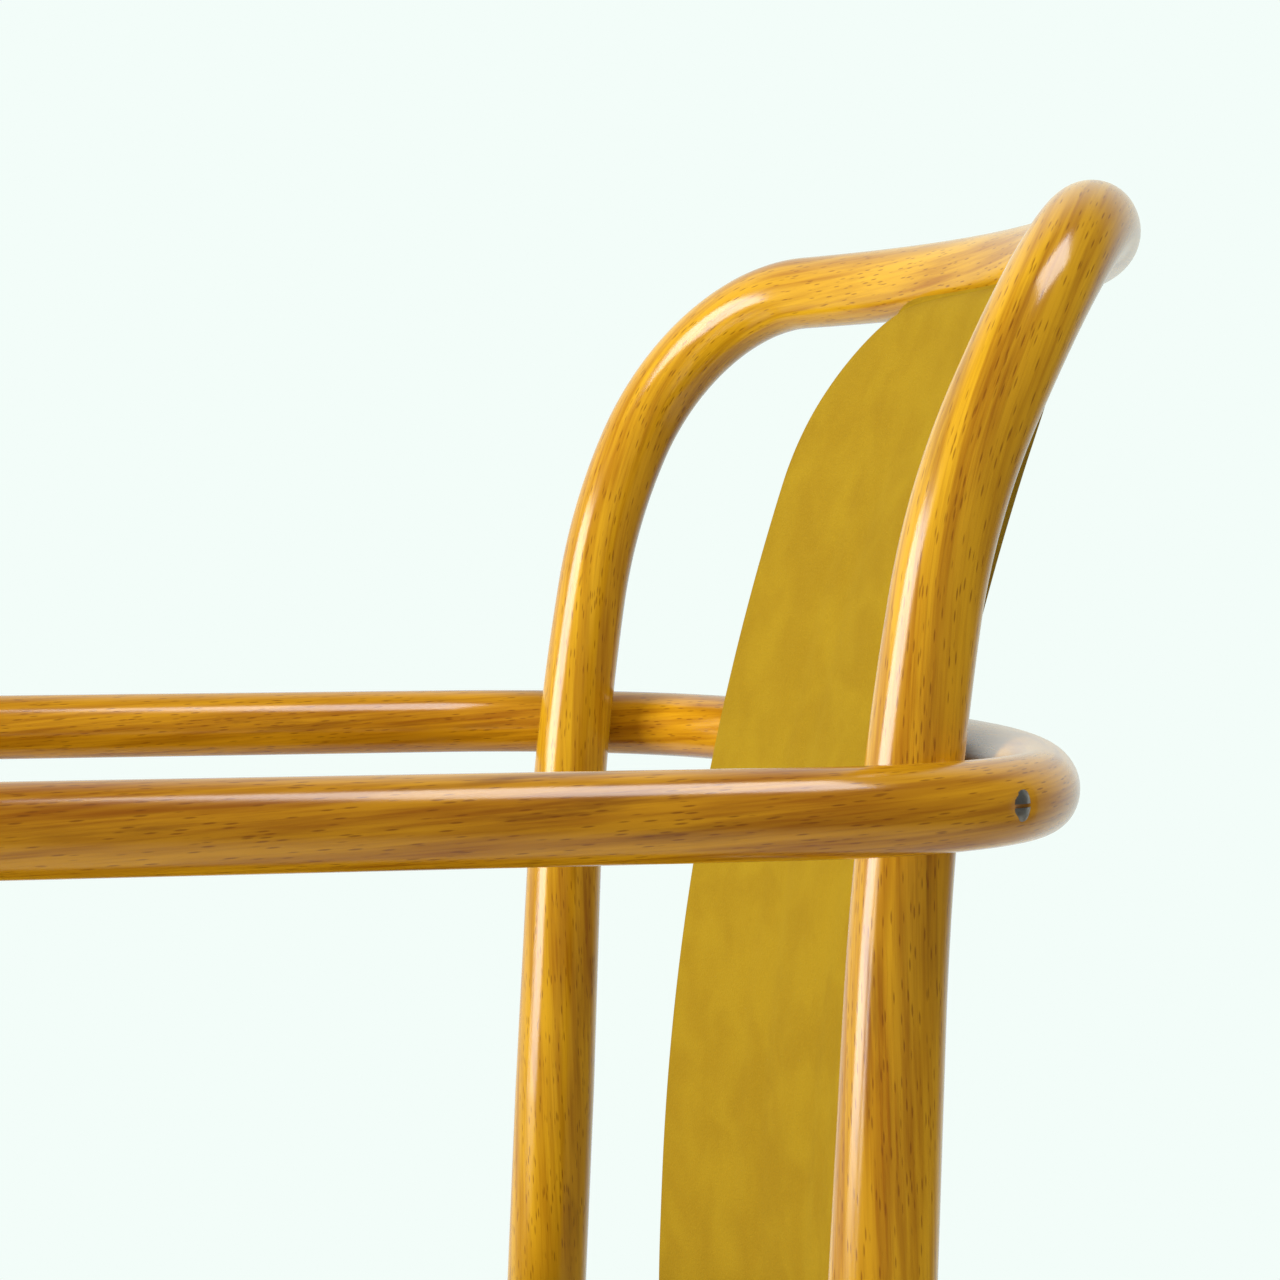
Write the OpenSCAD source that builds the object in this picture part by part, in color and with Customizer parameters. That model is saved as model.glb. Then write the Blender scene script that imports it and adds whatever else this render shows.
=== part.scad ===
// Bentwood armchair: bent beech rods, an upholstered seat and a bowed upholstered back panel.
// The sitter faces -Y, the near arm of the photograph is at +X, and the feet stand on Z = 0.

/* [Overall] */
// Height to the top of the back rail
chair_h = 871; // [850:1:890]
// Depth from the front edge of the seat to the back of the rail
chair_d = 558; // [550:1:570]

/* [Back hoop] */
// Distance between the axes of the two uprights
hoop_w = 448; // [440:1:460]
// Diameter of the rod in the rail and the upper uprights
hoop_d = 30.4; // [29:0.1:32]
// Diameter of the rod at the foot of the bends in the uprights
hoop_low_d = 33; // [32:0.1:34]
// Diameter of the rod where it passes the seat
hoop_seat_d = 35; // [33:0.5:37]
// Diameter of the rear legs at the floor
hoop_foot_d = 26; // [24:0.5:28]
// Radius of the rail's bow, seen from above
rail_bow_r = 362; // [355:1:370]
// Angle that the rail's bow turns on each side of the middle
rail_sweep = 26.5; // [25:0.1:28]
// Backward lean of the uprights just under the top corners
lean_top = 24.2; // [22:0.1:26]
// Lean between the two bends of the uprights
lean_mid = 9; // [8:0.1:10]
// Lean of the straight uprights at the seat
lean_low = 2.5; // [2:0.1:3]
// Radius of the upper bend of the uprights
lean_top_r = 260; // [250:1:270]
// Radius of the lower, gentler bend
lean_low_r = 1150; // [1100:10:1200]
// Share of the straight upright above the seat ring that keeps its full thickness
taper_share = 0.56; // [0.5:0.02:0.62]
// Angle at which the rear legs kick back
kick = 16; // [15:0.5:17]
// Radius of the bend where the rear legs kick back
kick_r = 480; // [460:5:500]
// Drop from the seat ring to the start of that bend
kick_drop = 11; // [8:1:14]

/* [Arm hoop] */
// Diameter of the arm rod
arm_d = 28; // [27:0.1:29]
// Drop from the top of the back rail to the arm rod's axis
arm_drop = 203.7; // [200:0.1:208]
// Radius of the bends behind the uprights
arm_corner_r = 112; // [106:1:118]
// Radius of the bow across the back
arm_back_r = 500; // [480:5:520]
// Direction in which the arm lies against the upright, from the side
arm_contact = 38; // [36:0.5:40]
// Depth of the seat that the arm has in the upright
arm_bite = 1.2; // [1:0.1:1.6]
// Distance from the front edge of the seat to the start of the front bend
arm_bend_back = 128; // [120:1:132]
// Radius of the front bend
arm_front_r = 95; // [90:1:100]
// Backward lean of the arm's post under the front bend
post_lean = 13; // [12:0.5:14]
// Depth of the flat where the post lies on the seat ring
post_lap = 5; // [4:0.5:6]

/* [Seat ring] */
// Height of the ring's top face
ring_z = 388; // [380:1:392]
// Height of the ring's section
ring_h = 34; // [32:1:36]
// Width of the ring's section
ring_t = 36; // [34:1:38]
// Radius of the ring's rear corners
ring_rear_r = 56; // [54:1:60]
// How far the rear corners stand out past the ring's rear bow
ring_stand = 9.5; // [8.5:0.5:11]
// Radius of the ring's front corners
ring_front_r = 60; // [56:1:64]
// Distance between the centres of the front corners
ring_front_w = 342; // [336:1:348]
// Radius of the front edge's bow
ring_bow_r = 900; // [850:10:950]
// Direction from the ring's rear corner to the rear leg, from the side
leg_contact = 30; // [28:0.5:32]
// Depth of the seat that the ring has in the rear leg
leg_bite = 2; // [1.5:0.1:2.5]
// Rounding of the ring's edges
ring_round = 5; // [4:0.5:6]

/* [Front legs] */
// Diameter of a front leg under the ring
leg_top_d = 38; // [36:0.5:39]
// Diameter of a front leg at the floor
leg_foot_d = 26; // [24:0.5:28]
// Outward splay of a front leg
leg_splay = 3; // [2:0.1:4]
// Diameter of the tenon
tenon_d = 22; // [20:0.5:24]
// Length of the tenon
tenon_l = 26; // [24:0.5:28]

/* [Leg ring] */
// Height of the leg ring's axis
hoop_z = 190; // [182:1:198]
// Diameter of the leg ring's rod
leg_ring_d = 20; // [18:0.5:22]
// Radius of the leg ring's corners
leg_ring_r = 95; // [85:1:105]
// Depth of the hollows that the leg ring has for the legs
leg_ring_bite = 2; // [1.5:0.1:2.5]

/* [Seat] */
// Thickness of the plywood seat board
board_t = 10; // [9:0.5:12]
// Distance that the upholstered seat stands out past the ring
seat_over = 3; // [2:0.5:4]
// Height of the cushion's side above the board
seat_side_h = 24; // [20:1:28]
// Rise of the cushion's crown above its side
seat_crown = 20; // [16:1:24]
// Thickness of the cover
cloth_t = 1.2; // [1:0.1:1.4]
// Width of the hem folded under the board
hem_w = 14; // [12:1:16]

/* [Back panel] */
// Width of the padded panel
panel_w = 260; // [250:1:270]
// Radius of the panel, seen from above
panel_r = 400; // [390:1:410]
// Height at which the panel stands upright
panel_z = 440; // [436:1:446]
// Radius of the panel's top corners
panel_corner_r = 75; // [70:1:80]
// Thickness of the moulded board
panel_board_t = 8; // [7.5:0.5:8.5]
// Distance that the board's middle lies in front of the rail's axis
panel_set = 10; // [9:0.5:10.5]
// Thickness of the front padding at the middle
panel_front_t = 8; // [7.5:0.5:9]
// Thickness of the rear padding at the middle
panel_rear_t = 2.3; // [2:0.1:3]

/* [Fasteners] */
// Head diameter of the slotted screws that hold the arm hoop
arm_screw_head_d = 10; // [9:0.5:11]
// Shank diameter of the wood screws
screw_d = 5; // [4:0.5:5]
// Head diameter of the plain wood screws
screw_head_d = 9; // [8:0.5:10]
// Diameter of the bolts that hold the rear legs
bolt_d = 8; // [7:0.5:8]
// Diameter of the foot glides
glide_d = 20; // [18:0.5:22]
// Height of the foot glides
glide_h = 4; // [3:0.5:5]

/* [Hidden] */
$fn = 96;

// Clearance between a soft piece and its neighbour
soft_gap = 0.3;
// Clearance between the padding and the board of the back panel
board_gap = 0.5;
// Clearance between a screw, bolt or dowel and its bore, on the radius
bore_gap = 0.1;
// Overrun of a cut past the face that it opens
over = 2;

// Vectors and bends
function unit(v) = v / norm(v);
function mod360(a) = a - 360 * floor(a / 360);
function turn_angle(from, to) = acos(from * to);
function turn_side(from, to) = unit(to - (to * from) * from);
function bend_end(p, from, to, r) =
    let (a = turn_angle(from, to))
    p + r * (sin(a) * from + (1 - cos(a)) * turn_side(from, to));
function across(dir) = unit(cross(dir, abs(dir.z) < abs(dir.x) + abs(dir.y) ? [0, 0, 1] : [1, 0, 0]));

// Places the children with their X and Y along the two given directions
module placed(p, x, y) {
    z = cross(x, y);
    multmatrix([[x.x, y.x, z.x, p.x], [x.y, y.y, z.y, p.y], [x.z, y.z, z.z, p.z], [0, 0, 0, 1]])
        children();
}

// Places the children with their Z along the given direction
module along(p, dir) {
    placed(p, across(dir), cross(dir, across(dir)))
        children();
}

// A true round bend, used to cut the seat that one rod has in another
module bend(p, from, to, r, d) {
    side = turn_side(from, to);
    placed(p + r * side, -side, from)
        rotate_extrude(angle = turn_angle(from, to))
            translate([r, 0])
                circle(d = d);
}

// A straight stretch of rod, which may taper
module stretch(p, dir, l, d1, d2) {
    along(p, dir)
        cylinder(h = l, d1 = d1, d2 = d2);
}

// Stations along a bend, each as [point, heading, diameter]
function bend_path(p, from, to, r, d, steps) = [
    for (k = [0:steps])
        let (turn = turn_angle(from, to) * k / steps, side = turn_side(from, to))
        [
            p + r * (sin(turn) * from + (1 - cos(turn)) * side),
            cos(turn) * from + sin(turn) * side,
            d[0] + (d[1] - d[0]) * k / steps
        ]
];

// The whole of a rod that is alike on both sides, from the stations of its left half
function flip_x(v) = [-v.x, v.y, v.z];
function whole_path(half) = concat(
    [for (i = [len(half) - 1:-1:1]) [flip_x(half[i][0]), -flip_x(half[i][1]), half[i][2]]],
    half
);

// A rod through its stations; each ring of points is carried on from the last without twisting
rod_sides = 24;
function carried(path) = [
    for (
        i = 0, side = across(path[0][1]);
        i < len(path);
        i = i + 1,
        side = i < len(path) ? unit(side - (side * path[i][1]) * path[i][1]) : side
    )
        side
];
module rod(path) {
    sides = carried(path);
    skin([
        for (i = [0:len(path) - 1])
            let (up = cross(path[i][1], sides[i]))
            [
                for (k = [0:rod_sides - 1])
                    let (turn = 360 * k / rod_sides)
                    path[i][0] + path[i][2] / 2 * (cos(turn) * sides[i] + sin(turn) * up)
            ]
    ]);
}

// Both halves of a piece that is alike on the sitter's left and right
module both_sides() {
    children();
    mirror([1, 0, 0])
        children();
}

// Belts: closed loops drawn tightly round circles, each circle given as [x, y, radius]
function belt_normal(a, b) = atan2(b.y - a.y, b.x - a.x) - acos((a[2] - b[2]) / norm([b.x - a.x, b.y - a.y]));
function belt_next(c, i) = c[(i + 1) % len(c)];
function belt_leave(c, i) = belt_normal(c[i], belt_next(c, i));
function belt_reach(c, i) = belt_normal(c[(i + len(c) - 1) % len(c)], c[i]);
function belt_sweep(c, i) = mod360(belt_leave(c, i) - belt_reach(c, i));
function belt_point(c, a, inset) = [c.x, c.y] + (c[2] - inset) * [cos(a), sin(a)];
function belt_outline(c, inset, steps) = [
    for (i = [0:len(c) - 1], k = [0:steps])
        belt_point(c[i], belt_reach(c, i) + belt_sweep(c, i) * k / steps, inset)
];

// Rings of points joined into one closed skin, with the first and last rings capped
function ring_faces(n, rings) = [
    for (r = [0:rings - 2], i = [0:n - 1], second = [0, 1])
        let (a = r * n + i, b = r * n + (i + 1) % n)
        second ? [b, b + n, a + n] : [a, b, a + n]
];
function cap_faces(n, base, flip) = [
    for (i = [0:n / 2 - 1], second = [0, 1])
        let (a = base + i, b = base + (n - i) % n, c = a + 1, d = base + n - i - 1)
        if (second ? c != d : a != b)
            second ? (flip ? [b, c, d] : [d, c, b]) : (flip ? [b, a, c] : [c, a, b])
];
module skin(rings) {
    n = len(rings[0]);
    polyhedron(
        points = [for (ring = rings) each ring],
        faces = concat(
            cap_faces(n, 0, false),
            ring_faces(n, len(rings)),
            cap_faces(n, n * (len(rings) - 1), true)
        )
    );
}

// A closed rod or rail that follows a belt, from the points of its section, outer edge at X = 0
belt_steps = 8;
module belt(c, section) {
    outline = belt_outline(c, 0, belt_steps);
    n = len(outline);
    m = len(section);
    polyhedron(
        points = [
            for (s = section)
                for (p = belt_outline(c, -s.x, belt_steps))
                    [p.x, p.y, s.y]
        ],
        faces = [
            for (r = [0:m - 1], i = [0:n - 1], second = [0, 1])
                let (
                    a = r * n + i,
                    b = r * n + (i + 1) % n,
                    c = ((r + 1) % m) * n + i,
                    d = ((r + 1) % m) * n + (i + 1) % n
                )
                second ? [b, d, c] : [a, b, c]
        ]
    );
}

// Back hoop, worked out from the middle of the rail down to the feet
rail_y = chair_d / 2 - hoop_d / 2;
rail_z = chair_h - hoop_d / 2;
head_side = [1, 0, 0];
head_front = [0, -1, 0];
head_rail = [cos(rail_sweep), -sin(rail_sweep), 0];
function head_down(lean) = [0, -sin(lean), -cos(lean)];
rail_mid = [0, rail_y, rail_z];
rail_end = bend_end(rail_mid, head_side, head_rail, rail_bow_r);
corner_l = (hoop_w / 2 - rail_end.x) / cos(rail_sweep);
corner_end = rail_end + corner_l * (head_rail + head_down(lean_top));
corner_r = corner_l / tan(turn_angle(head_rail, head_down(lean_top)) / 2);
lean_start = bend_end(corner_end, head_down(lean_top), head_down(lean_mid), lean_top_r);
lean_end = bend_end(lean_start, head_down(lean_mid), head_down(lean_low), lean_low_r);
ring_foot_z = ring_z - ring_h;
ring_mid_z = ring_z - ring_h / 2;
taper_z = ring_z + taper_share * (lean_end.z - ring_z);
kick_z = ring_foot_z - kick_drop;
function low_upright(z) = lean_end + (lean_end.z - z) / cos(lean_low) * head_down(lean_low);
kick_start = low_upright(kick_z);
kick_end = bend_end(kick_start, head_down(lean_low), head_down(-kick), kick_r);
function rear_leg(z) = kick_end + (kick_end.z - z) / cos(kick) * head_down(-kick);
function rear_leg_d(z) =
    hoop_foot_d + (hoop_seat_d - hoop_foot_d) * (z - glide_h) / (kick_end.z - glide_h);
lean_centre = lean_start + lean_low_r * turn_side(head_down(lean_mid), head_down(lean_low));
function upright_y(z) = lean_centre.y - sqrt(pow(lean_low_r, 2) - pow(z - lean_centre.z, 2));

// Arm hoop
arm_z = chair_h - arm_drop;
arm_reach = arm_corner_r - (arm_d / 2 + hoop_d / 2 - arm_bite);
contact_dir = [cos(arm_contact), sin(arm_contact), 0];
arm_centre = [hoop_w / 2, upright_y(arm_z), arm_z] - arm_reach * contact_dir;
arm_sweep = asin(arm_centre.x / (arm_back_r - arm_corner_r));
arm_mid_y = arm_centre.y + arm_back_r - (arm_back_r - arm_corner_r) * cos(arm_sweep);
arm_x = arm_centre.x + arm_corner_r;
arm_mid = [0, arm_mid_y, arm_z];
head_arm = [cos(arm_sweep), -sin(arm_sweep), 0];
arm_corner_start = bend_end(arm_mid, head_side, head_arm, arm_back_r);
seat_front_y = -chair_d / 2;
arm_bend_start = [arm_x, seat_front_y + arm_bend_back, arm_z];

// Seat ring, as a belt round a rear circle, two rear corners, two front corners and a front bow
leg_dir = [cos(leg_contact), sin(leg_contact), 0];
bolt_reach = ring_rear_r + hoop_seat_d / 2 - leg_bite;
ring_rear = low_upright(ring_mid_z) - bolt_reach * leg_dir;
ring_inner_r = panel_r - panel_board_t / 2;
panel_axis_y = ring_rear.y - sqrt(pow(ring_inner_r - ring_rear_r + ring_stand, 2) - pow(ring_rear.x, 2));
ring_front_y = seat_front_y + seat_over;
// How far the front corners lie behind the middle of the front bow
ring_front_set = 10;
ring_front_cy = ring_front_y + ring_front_set + ring_front_r;
function seat_belt(rear_r, rear_corner_r, front_x, front_r, bow_r) = [
    [0, panel_axis_y, rear_r],
    [-ring_rear.x, ring_rear.y, rear_corner_r],
    [-front_x, ring_front_cy, front_r],
    [0, ring_front_y + ring_bow_r, bow_r],
    [front_x, ring_front_cy, front_r],
    [ring_rear.x, ring_rear.y, rear_corner_r]
];
ring_belt = seat_belt(ring_inner_r, ring_rear_r, ring_front_w / 2, ring_front_r, ring_bow_r);
ring_side = belt_leave(ring_belt, 4);
side_dir = [cos(ring_side), sin(ring_side), 0];
side_reach = [ring_belt[4].x, ring_belt[4].y, 0] * side_dir + ring_front_r;
function side_x(y) = (side_reach - side_dir.y * y) / side_dir.x;

// Middle surface of the back panel: upright at the ring, then curved back to meet the rail
panel_top_z = rail_z - sqrt(pow(hoop_d / 2, 2) - pow(panel_set, 2));
panel_rise = panel_top_z - panel_z;
panel_lag = rail_y - panel_set - panel_axis_y - panel_r;
panel_side_r = (pow(panel_rise, 2) + pow(panel_lag, 2)) / (2 * panel_lag);
function panel_fall(z) = z < panel_z ? 0 : panel_side_r - sqrt(pow(panel_side_r, 2) - pow(z - panel_z, 2));

// The arm's post, bent in a plane that leans in towards the ring
post_drop = arm_z - ring_mid_z;
post_y = arm_bend_start.y - arm_front_r * cos(post_lean)
    + (post_drop - arm_front_r * (1 + sin(post_lean))) * tan(post_lean);
post_tilt = atan((arm_x - side_x(post_y) - arm_d / 2 + post_lap) / post_drop);
head_post = [
    -sin(post_tilt) * cos(post_lean),
    sin(post_lean),
    -cos(post_tilt) * cos(post_lean)
];
post_start = bend_end(arm_bend_start, head_front, head_post, arm_front_r);
function post_at(z) = post_start + (z - post_start.z) / head_post.z * head_post;

// Front legs, under the ring's front corners
front_leg_turn = 50;
leg_out = [cos(ring_side - front_leg_turn), sin(ring_side - front_leg_turn), 0];
leg_head = [0, 0, ring_foot_z] + [ring_belt[4].x, ring_belt[4].y, 0] + (ring_front_r - ring_t / 2) * leg_out;
leg_down = sin(leg_splay) * leg_out - [0, 0, cos(leg_splay)];
function front_leg(z) = leg_head + (leg_head.z - z) / cos(leg_splay) * leg_down;
function front_leg_d(z) = leg_foot_d + (leg_top_d - leg_foot_d) * (z - glide_h) / (ring_foot_z - glide_h);

// Leg ring, a belt that touches the four legs from inside
front_brace_turn = -45;
rear_brace_turn = 35;
front_brace = [cos(front_brace_turn), sin(front_brace_turn), 0];
rear_brace = [cos(rear_brace_turn), sin(rear_brace_turn), 0];
brace_front = front_leg(hoop_z) - (leg_ring_r + front_leg_d(hoop_z) / 2 - leg_ring_bite) * front_brace;
brace_rear = rear_leg(hoop_z) - (leg_ring_r + rear_leg_d(hoop_z) / 2 - leg_ring_bite) * rear_brace;
leg_ring_belt = [
    [-brace_rear.x, brace_rear.y, leg_ring_r],
    [-brace_front.x, brace_front.y, leg_ring_r],
    [brace_front.x, brace_front.y, leg_ring_r],
    [brace_rear.x, brace_rear.y, leg_ring_r]
];

// Screws, bolts and dowels, each drawn down +Z from the face that it enters
slot_w = 1.2;
slot_depth = 1.4;
tip_l = 5;
module wood_screw(l, head_d) {
    head_h = (head_d - screw_d) / 2;
    difference() {
        union() {
            cylinder(h = head_h, d1 = head_d, d2 = screw_d);
            translate([0, 0, head_h])
                cylinder(h = l - head_h - tip_l, d = screw_d);
            translate([0, 0, l - tip_l])
                cylinder(h = tip_l, d1 = screw_d, d2 = slot_w);
        }
        translate([-slot_w / 2, -head_d, -over])
            cube([slot_w, 2 * head_d, over + slot_depth]);
    }
}
module screw_bore(l, head_d) {
    head_h = (head_d - screw_d) / 2;
    translate([0, 0, -over])
        cylinder(h = over, d = head_d + 2 * bore_gap);
    cylinder(h = head_h, d1 = head_d + 2 * bore_gap, d2 = screw_d + 2 * bore_gap);
    translate([0, 0, head_h])
        cylinder(h = l - head_h + bore_gap, d = screw_d + 2 * bore_gap);
}

// Depth at which a head of one diameter lies in a rod of another, rim flush with the rod
function head_sink(rod_d, head_d) = rod_d / 2 - sqrt(pow(rod_d / 2, 2) - pow(head_d / 2, 2));

// Raised head of the screws that hold the arm hoop to the uprights
arm_screw_l = 42;
arm_head_rise = 1.4;
module at_arm_screw() {
    reach = arm_corner_r + arm_d / 2 - head_sink(arm_d, arm_screw_head_d);
    placed(arm_centre + reach * contact_dir, [0, 0, 1], cross(-contact_dir, [0, 0, 1]))
        children();
}
module raised_head(d, rise) {
    dome_r = (pow(d / 2, 2) + pow(rise, 2)) / (2 * rise);
    intersection() {
        translate([0, 0, dome_r - rise])
            sphere(r = dome_r);
        translate([0, 0, -rise])
            cylinder(h = rise, d = d);
    }
}

// Screws that hold the arm posts to the ring
post_screw_shares = [0.28, 0.74];
post_screw_l = 40;
module at_post_screws() {
    for (share = post_screw_shares)
        along(
            post_at(ring_foot_z + share * ring_h) + (arm_d / 2 - head_sink(arm_d, screw_head_d)) * side_dir,
            -side_dir
        )
            children();
}

// Bolts that hold the rear legs to the ring
bolt_head_d = 18;
bolt_head_h = 3.5;
leg_spot = 2;
nut_spot = 3;
washer_d = 16;
washer_t = 1.6;
nut_w = 13;
nut_h = 6.5;
bolt_end = 2;
bolt_grip = hoop_seat_d - leg_spot - leg_bite + ring_t - nut_spot;
module at_bolt() {
    reach = ring_rear_r - leg_bite + hoop_seat_d - leg_spot;
    placed(ring_rear + reach * leg_dir, [0, 0, 1], cross(-leg_dir, [0, 0, 1]))
        children();
}

// Screws that hold the leg ring to the legs
brace_screw_l = 34;
module at_brace_screws() {
    inset = leg_ring_r - leg_ring_d + head_sink(leg_ring_d, screw_head_d);
    along(brace_front + inset * front_brace, front_brace)
        children();
    along(brace_rear + inset * rear_brace, rear_brace)
        children();
}

// Screws that hold the seat board, up through the sides of the ring
seat_screw_shares = [0.12, 0.82];
seat_screw_inset_share = 0.75;
seat_lift = cloth_t + 2 * soft_gap;
board_z = ring_z + seat_lift;
board_hold_share = 0.7;
seat_screw_l = ring_h + seat_lift + board_hold_share * board_t;
module at_seat_screws() {
    inset = seat_screw_inset_share * ring_t;
    from = belt_point(ring_belt[4], ring_side, inset);
    to = belt_point(ring_belt[5], ring_side, inset);
    for (share = seat_screw_shares)
        translate([for (v = from + share * (to - from)) v, ring_foot_z])
            children();
}

// Screws that hold the foot of the back board to the ring
back_screw_turn = 8;
back_screw_l = 32;
module at_back_screw() {
    out = [sin(back_screw_turn), cos(back_screw_turn), 0];
    along([0, panel_axis_y, ring_mid_z] + (panel_r + panel_board_t / 2) * out, -out)
        children();
}

// Dowels between the rail and the back board
dowel_x = 40;
dowel_d = 5;
dowel_in_board = 24;
dowel_in_rail = 12;
dowel_lean = asin((panel_top_z - panel_z) / panel_side_r);
module at_dowel() {
    y = panel_axis_y + sqrt(pow(panel_r + panel_fall(panel_top_z), 2) - pow(dowel_x, 2));
    up = [0, sin(dowel_lean), cos(dowel_lean)];
    along([dowel_x, y, panel_top_z] - dowel_in_board * up, up)
        children();
}
module dowel_bore() {
    translate([0, 0, -bore_gap])
        cylinder(h = dowel_in_board + dowel_in_rail + 2 * bore_gap, d = dowel_d + 2 * bore_gap);
}

// Nails that hold the foot glides
nail_d = 2.4;
nail_head_d = 6;
nail_head_h = 1;
nail_recess = 1;
nail_l = 20;
module at_feet() {
    for (foot = [front_leg(glide_h), rear_leg(glide_h)])
        translate([foot.x, foot.y, 0])
            children();
}
module nail_bore() {
    translate([0, 0, -over])
        cylinder(h = over + nail_recess + nail_head_h, d = nail_head_d + 2 * bore_gap);
    cylinder(h = nail_l + bore_gap, d = nail_d + 2 * bore_gap);
}

// Everything below the glides' top faces, where the legs are cut level
module below_feet() {
    translate([-chair_h, -chair_h, -chair_h])
        cube([2 * chair_h, 2 * chair_h, chair_h + glide_h]);
}

// Back hoop: one bent rod from foot to foot over the rail
foot_end_z = glide_h - over;
hoop_path = concat(
    bend_path(rail_mid, head_side, head_rail, rail_bow_r, [hoop_d, hoop_d], 4),
    bend_path(rail_end, head_rail, head_down(lean_top), corner_r, [hoop_d, hoop_d], 10),
    bend_path(corner_end, head_down(lean_top), head_down(lean_mid), lean_top_r, [hoop_d, hoop_d], 3),
    bend_path(lean_start, head_down(lean_mid), head_down(lean_low), lean_low_r, [hoop_d, hoop_low_d], 4),
    [[low_upright(taper_z), head_down(lean_low), hoop_seat_d]],
    bend_path(kick_start, head_down(lean_low), head_down(-kick), kick_r, [hoop_seat_d, hoop_seat_d], 3),
    [[rear_leg(foot_end_z), head_down(-kick), rear_leg_d(foot_end_z)]]
);
// Stations that double where two bends meet are left out
function thinned(path) = [
    for (i = [0:len(path) - 1])
        if (i == 0 || norm(path[i][0] - path[max(0, i - 1)][0]) > soft_gap)
            path[i]
];
module rear_foot() {
    length = (kick_end.z - foot_end_z) / cos(kick);
    stretch(kick_end, head_down(-kick), length, hoop_seat_d, rear_leg_d(foot_end_z));
}
module back_hoop() {
    color("#d99a3c")
        difference() {
            rod(whole_path(thinned(hoop_path)));
            below_feet();
            both_sides() {
                bend(arm_corner_start, head_arm, head_front, arm_corner_r, arm_d);
                translate([ring_rear.x, ring_rear.y, ring_foot_z])
                    cylinder(h = ring_h, r = ring_rear_r);
                at_arm_screw()
                    screw_bore(arm_screw_l, arm_screw_head_d);
                at_bolt() {
                    translate([0, 0, -hoop_seat_d])
                        cylinder(h = hoop_seat_d, d = bolt_head_d + 2 * bore_gap);
                    cylinder(h = 2 * hoop_seat_d, d = bolt_d + 2 * bore_gap);
                }
                at_brace_screws()
                    screw_bore(brace_screw_l, screw_head_d);
                at_dowel()
                    dowel_bore();
                at_feet()
                    nail_bore();
            }
        }
}

// Arm hoop: one bent rod round the back, along both sides and down to the ring
arm_path = concat(
    bend_path(arm_mid, head_side, head_arm, arm_back_r, [arm_d, arm_d], 4),
    bend_path(arm_corner_start, head_arm, head_front, arm_corner_r, [arm_d, arm_d], 8),
    bend_path(arm_bend_start, head_front, head_post, arm_front_r, [arm_d, arm_d], 10),
    [[post_at(ring_foot_z - arm_d), head_post, arm_d]]
);
module arm_hoop() {
    color("#d99a3c")
        difference() {
            rod(whole_path(thinned(arm_path)));
            both_sides() {
                translate([side_x(post_y), post_y, ring_foot_z])
                    rotate(ring_side)
                        translate([-ring_t, -ring_t, -over])
                            cube([ring_t, 2 * ring_t, ring_h + over]);
                translate([arm_x - 2 * arm_front_r, post_y - arm_front_r, ring_foot_z - arm_front_r])
                    cube([2 * arm_front_r, 2 * arm_front_r, arm_front_r]);
                at_arm_screw()
                    screw_bore(arm_screw_l, arm_screw_head_d);
                at_post_screws()
                    screw_bore(post_screw_l, screw_head_d);
            }
        }
}

// Seat ring
ring_round_steps = 3;
ring_corners = [
    [-ring_round, ring_h - ring_round],
    [ring_round - ring_t, ring_h - ring_round],
    [ring_round - ring_t, ring_round],
    [-ring_round, ring_round]
];
ring_section = [
    for (i = [0:len(ring_corners) - 1], k = [0:ring_round_steps])
        let (turn = 90 * (i + k / ring_round_steps))
        ring_corners[i] + ring_round * [cos(turn), sin(turn)]
];
module seat_ring() {
    color("#d08f35")
        difference() {
            translate([0, 0, ring_foot_z])
                belt(ring_belt, ring_section);
            both_sides() {
                along(leg_head, -leg_down)
                    translate([0, 0, -over])
                        cylinder(h = over + tenon_l + bore_gap, d = tenon_d + 2 * bore_gap);
                at_post_screws()
                    screw_bore(post_screw_l, screw_head_d);
                at_bolt() {
                    cylinder(h = 2 * ring_t + hoop_seat_d, d = bolt_d + 2 * bore_gap);
                    translate([0, 0, bolt_grip])
                        cylinder(h = ring_t, d = washer_d + 2 * over);
                }
                at_seat_screws()
                    screw_bore(seat_screw_l, screw_head_d);
                at_back_screw()
                    screw_bore(back_screw_l, screw_head_d);
            }
        }
}

// Front legs
module front_leg() {
    top_z = ring_foot_z + over;
    foot_z = glide_h - over;
    color("#d99a3c")
        difference() {
            union() {
                intersection() {
                    stretch(front_leg(top_z), leg_down, (top_z - foot_z) / cos(leg_splay),
                        front_leg_d(top_z), front_leg_d(foot_z));
                    translate([0, -chair_d, glide_h])
                        cube([chair_d, 2 * chair_d, ring_foot_z - glide_h]);
                }
                along(leg_head + tenon_d / 2 * leg_down, -leg_down)
                    cylinder(h = tenon_l + tenon_d / 2, d = tenon_d);
            }
            at_brace_screws()
                screw_bore(brace_screw_l, screw_head_d);
            at_feet()
                nail_bore();
        }
}
module front_leg_left() {
    front_leg();
}
module front_leg_right() {
    mirror([1, 0, 0])
        front_leg();
}

// Leg ring
leg_ring_sides = 16;
leg_ring_section = [
    for (k = [0:leg_ring_sides - 1])
        leg_ring_d / 2 * [cos(360 * k / leg_ring_sides) - 1, sin(360 * k / leg_ring_sides)]
];
module leg_ring() {
    color("#d99a3c")
        difference() {
            translate([0, 0, hoop_z])
                belt(leg_ring_belt, leg_ring_section);
            both_sides() {
                rear_foot();
                stretch(front_leg(ring_foot_z), leg_down, (ring_foot_z - glide_h) / cos(leg_splay),
                    leg_top_d, leg_foot_d);
                at_brace_screws()
                    screw_bore(brace_screw_l, screw_head_d);
            }
        }
}

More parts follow.
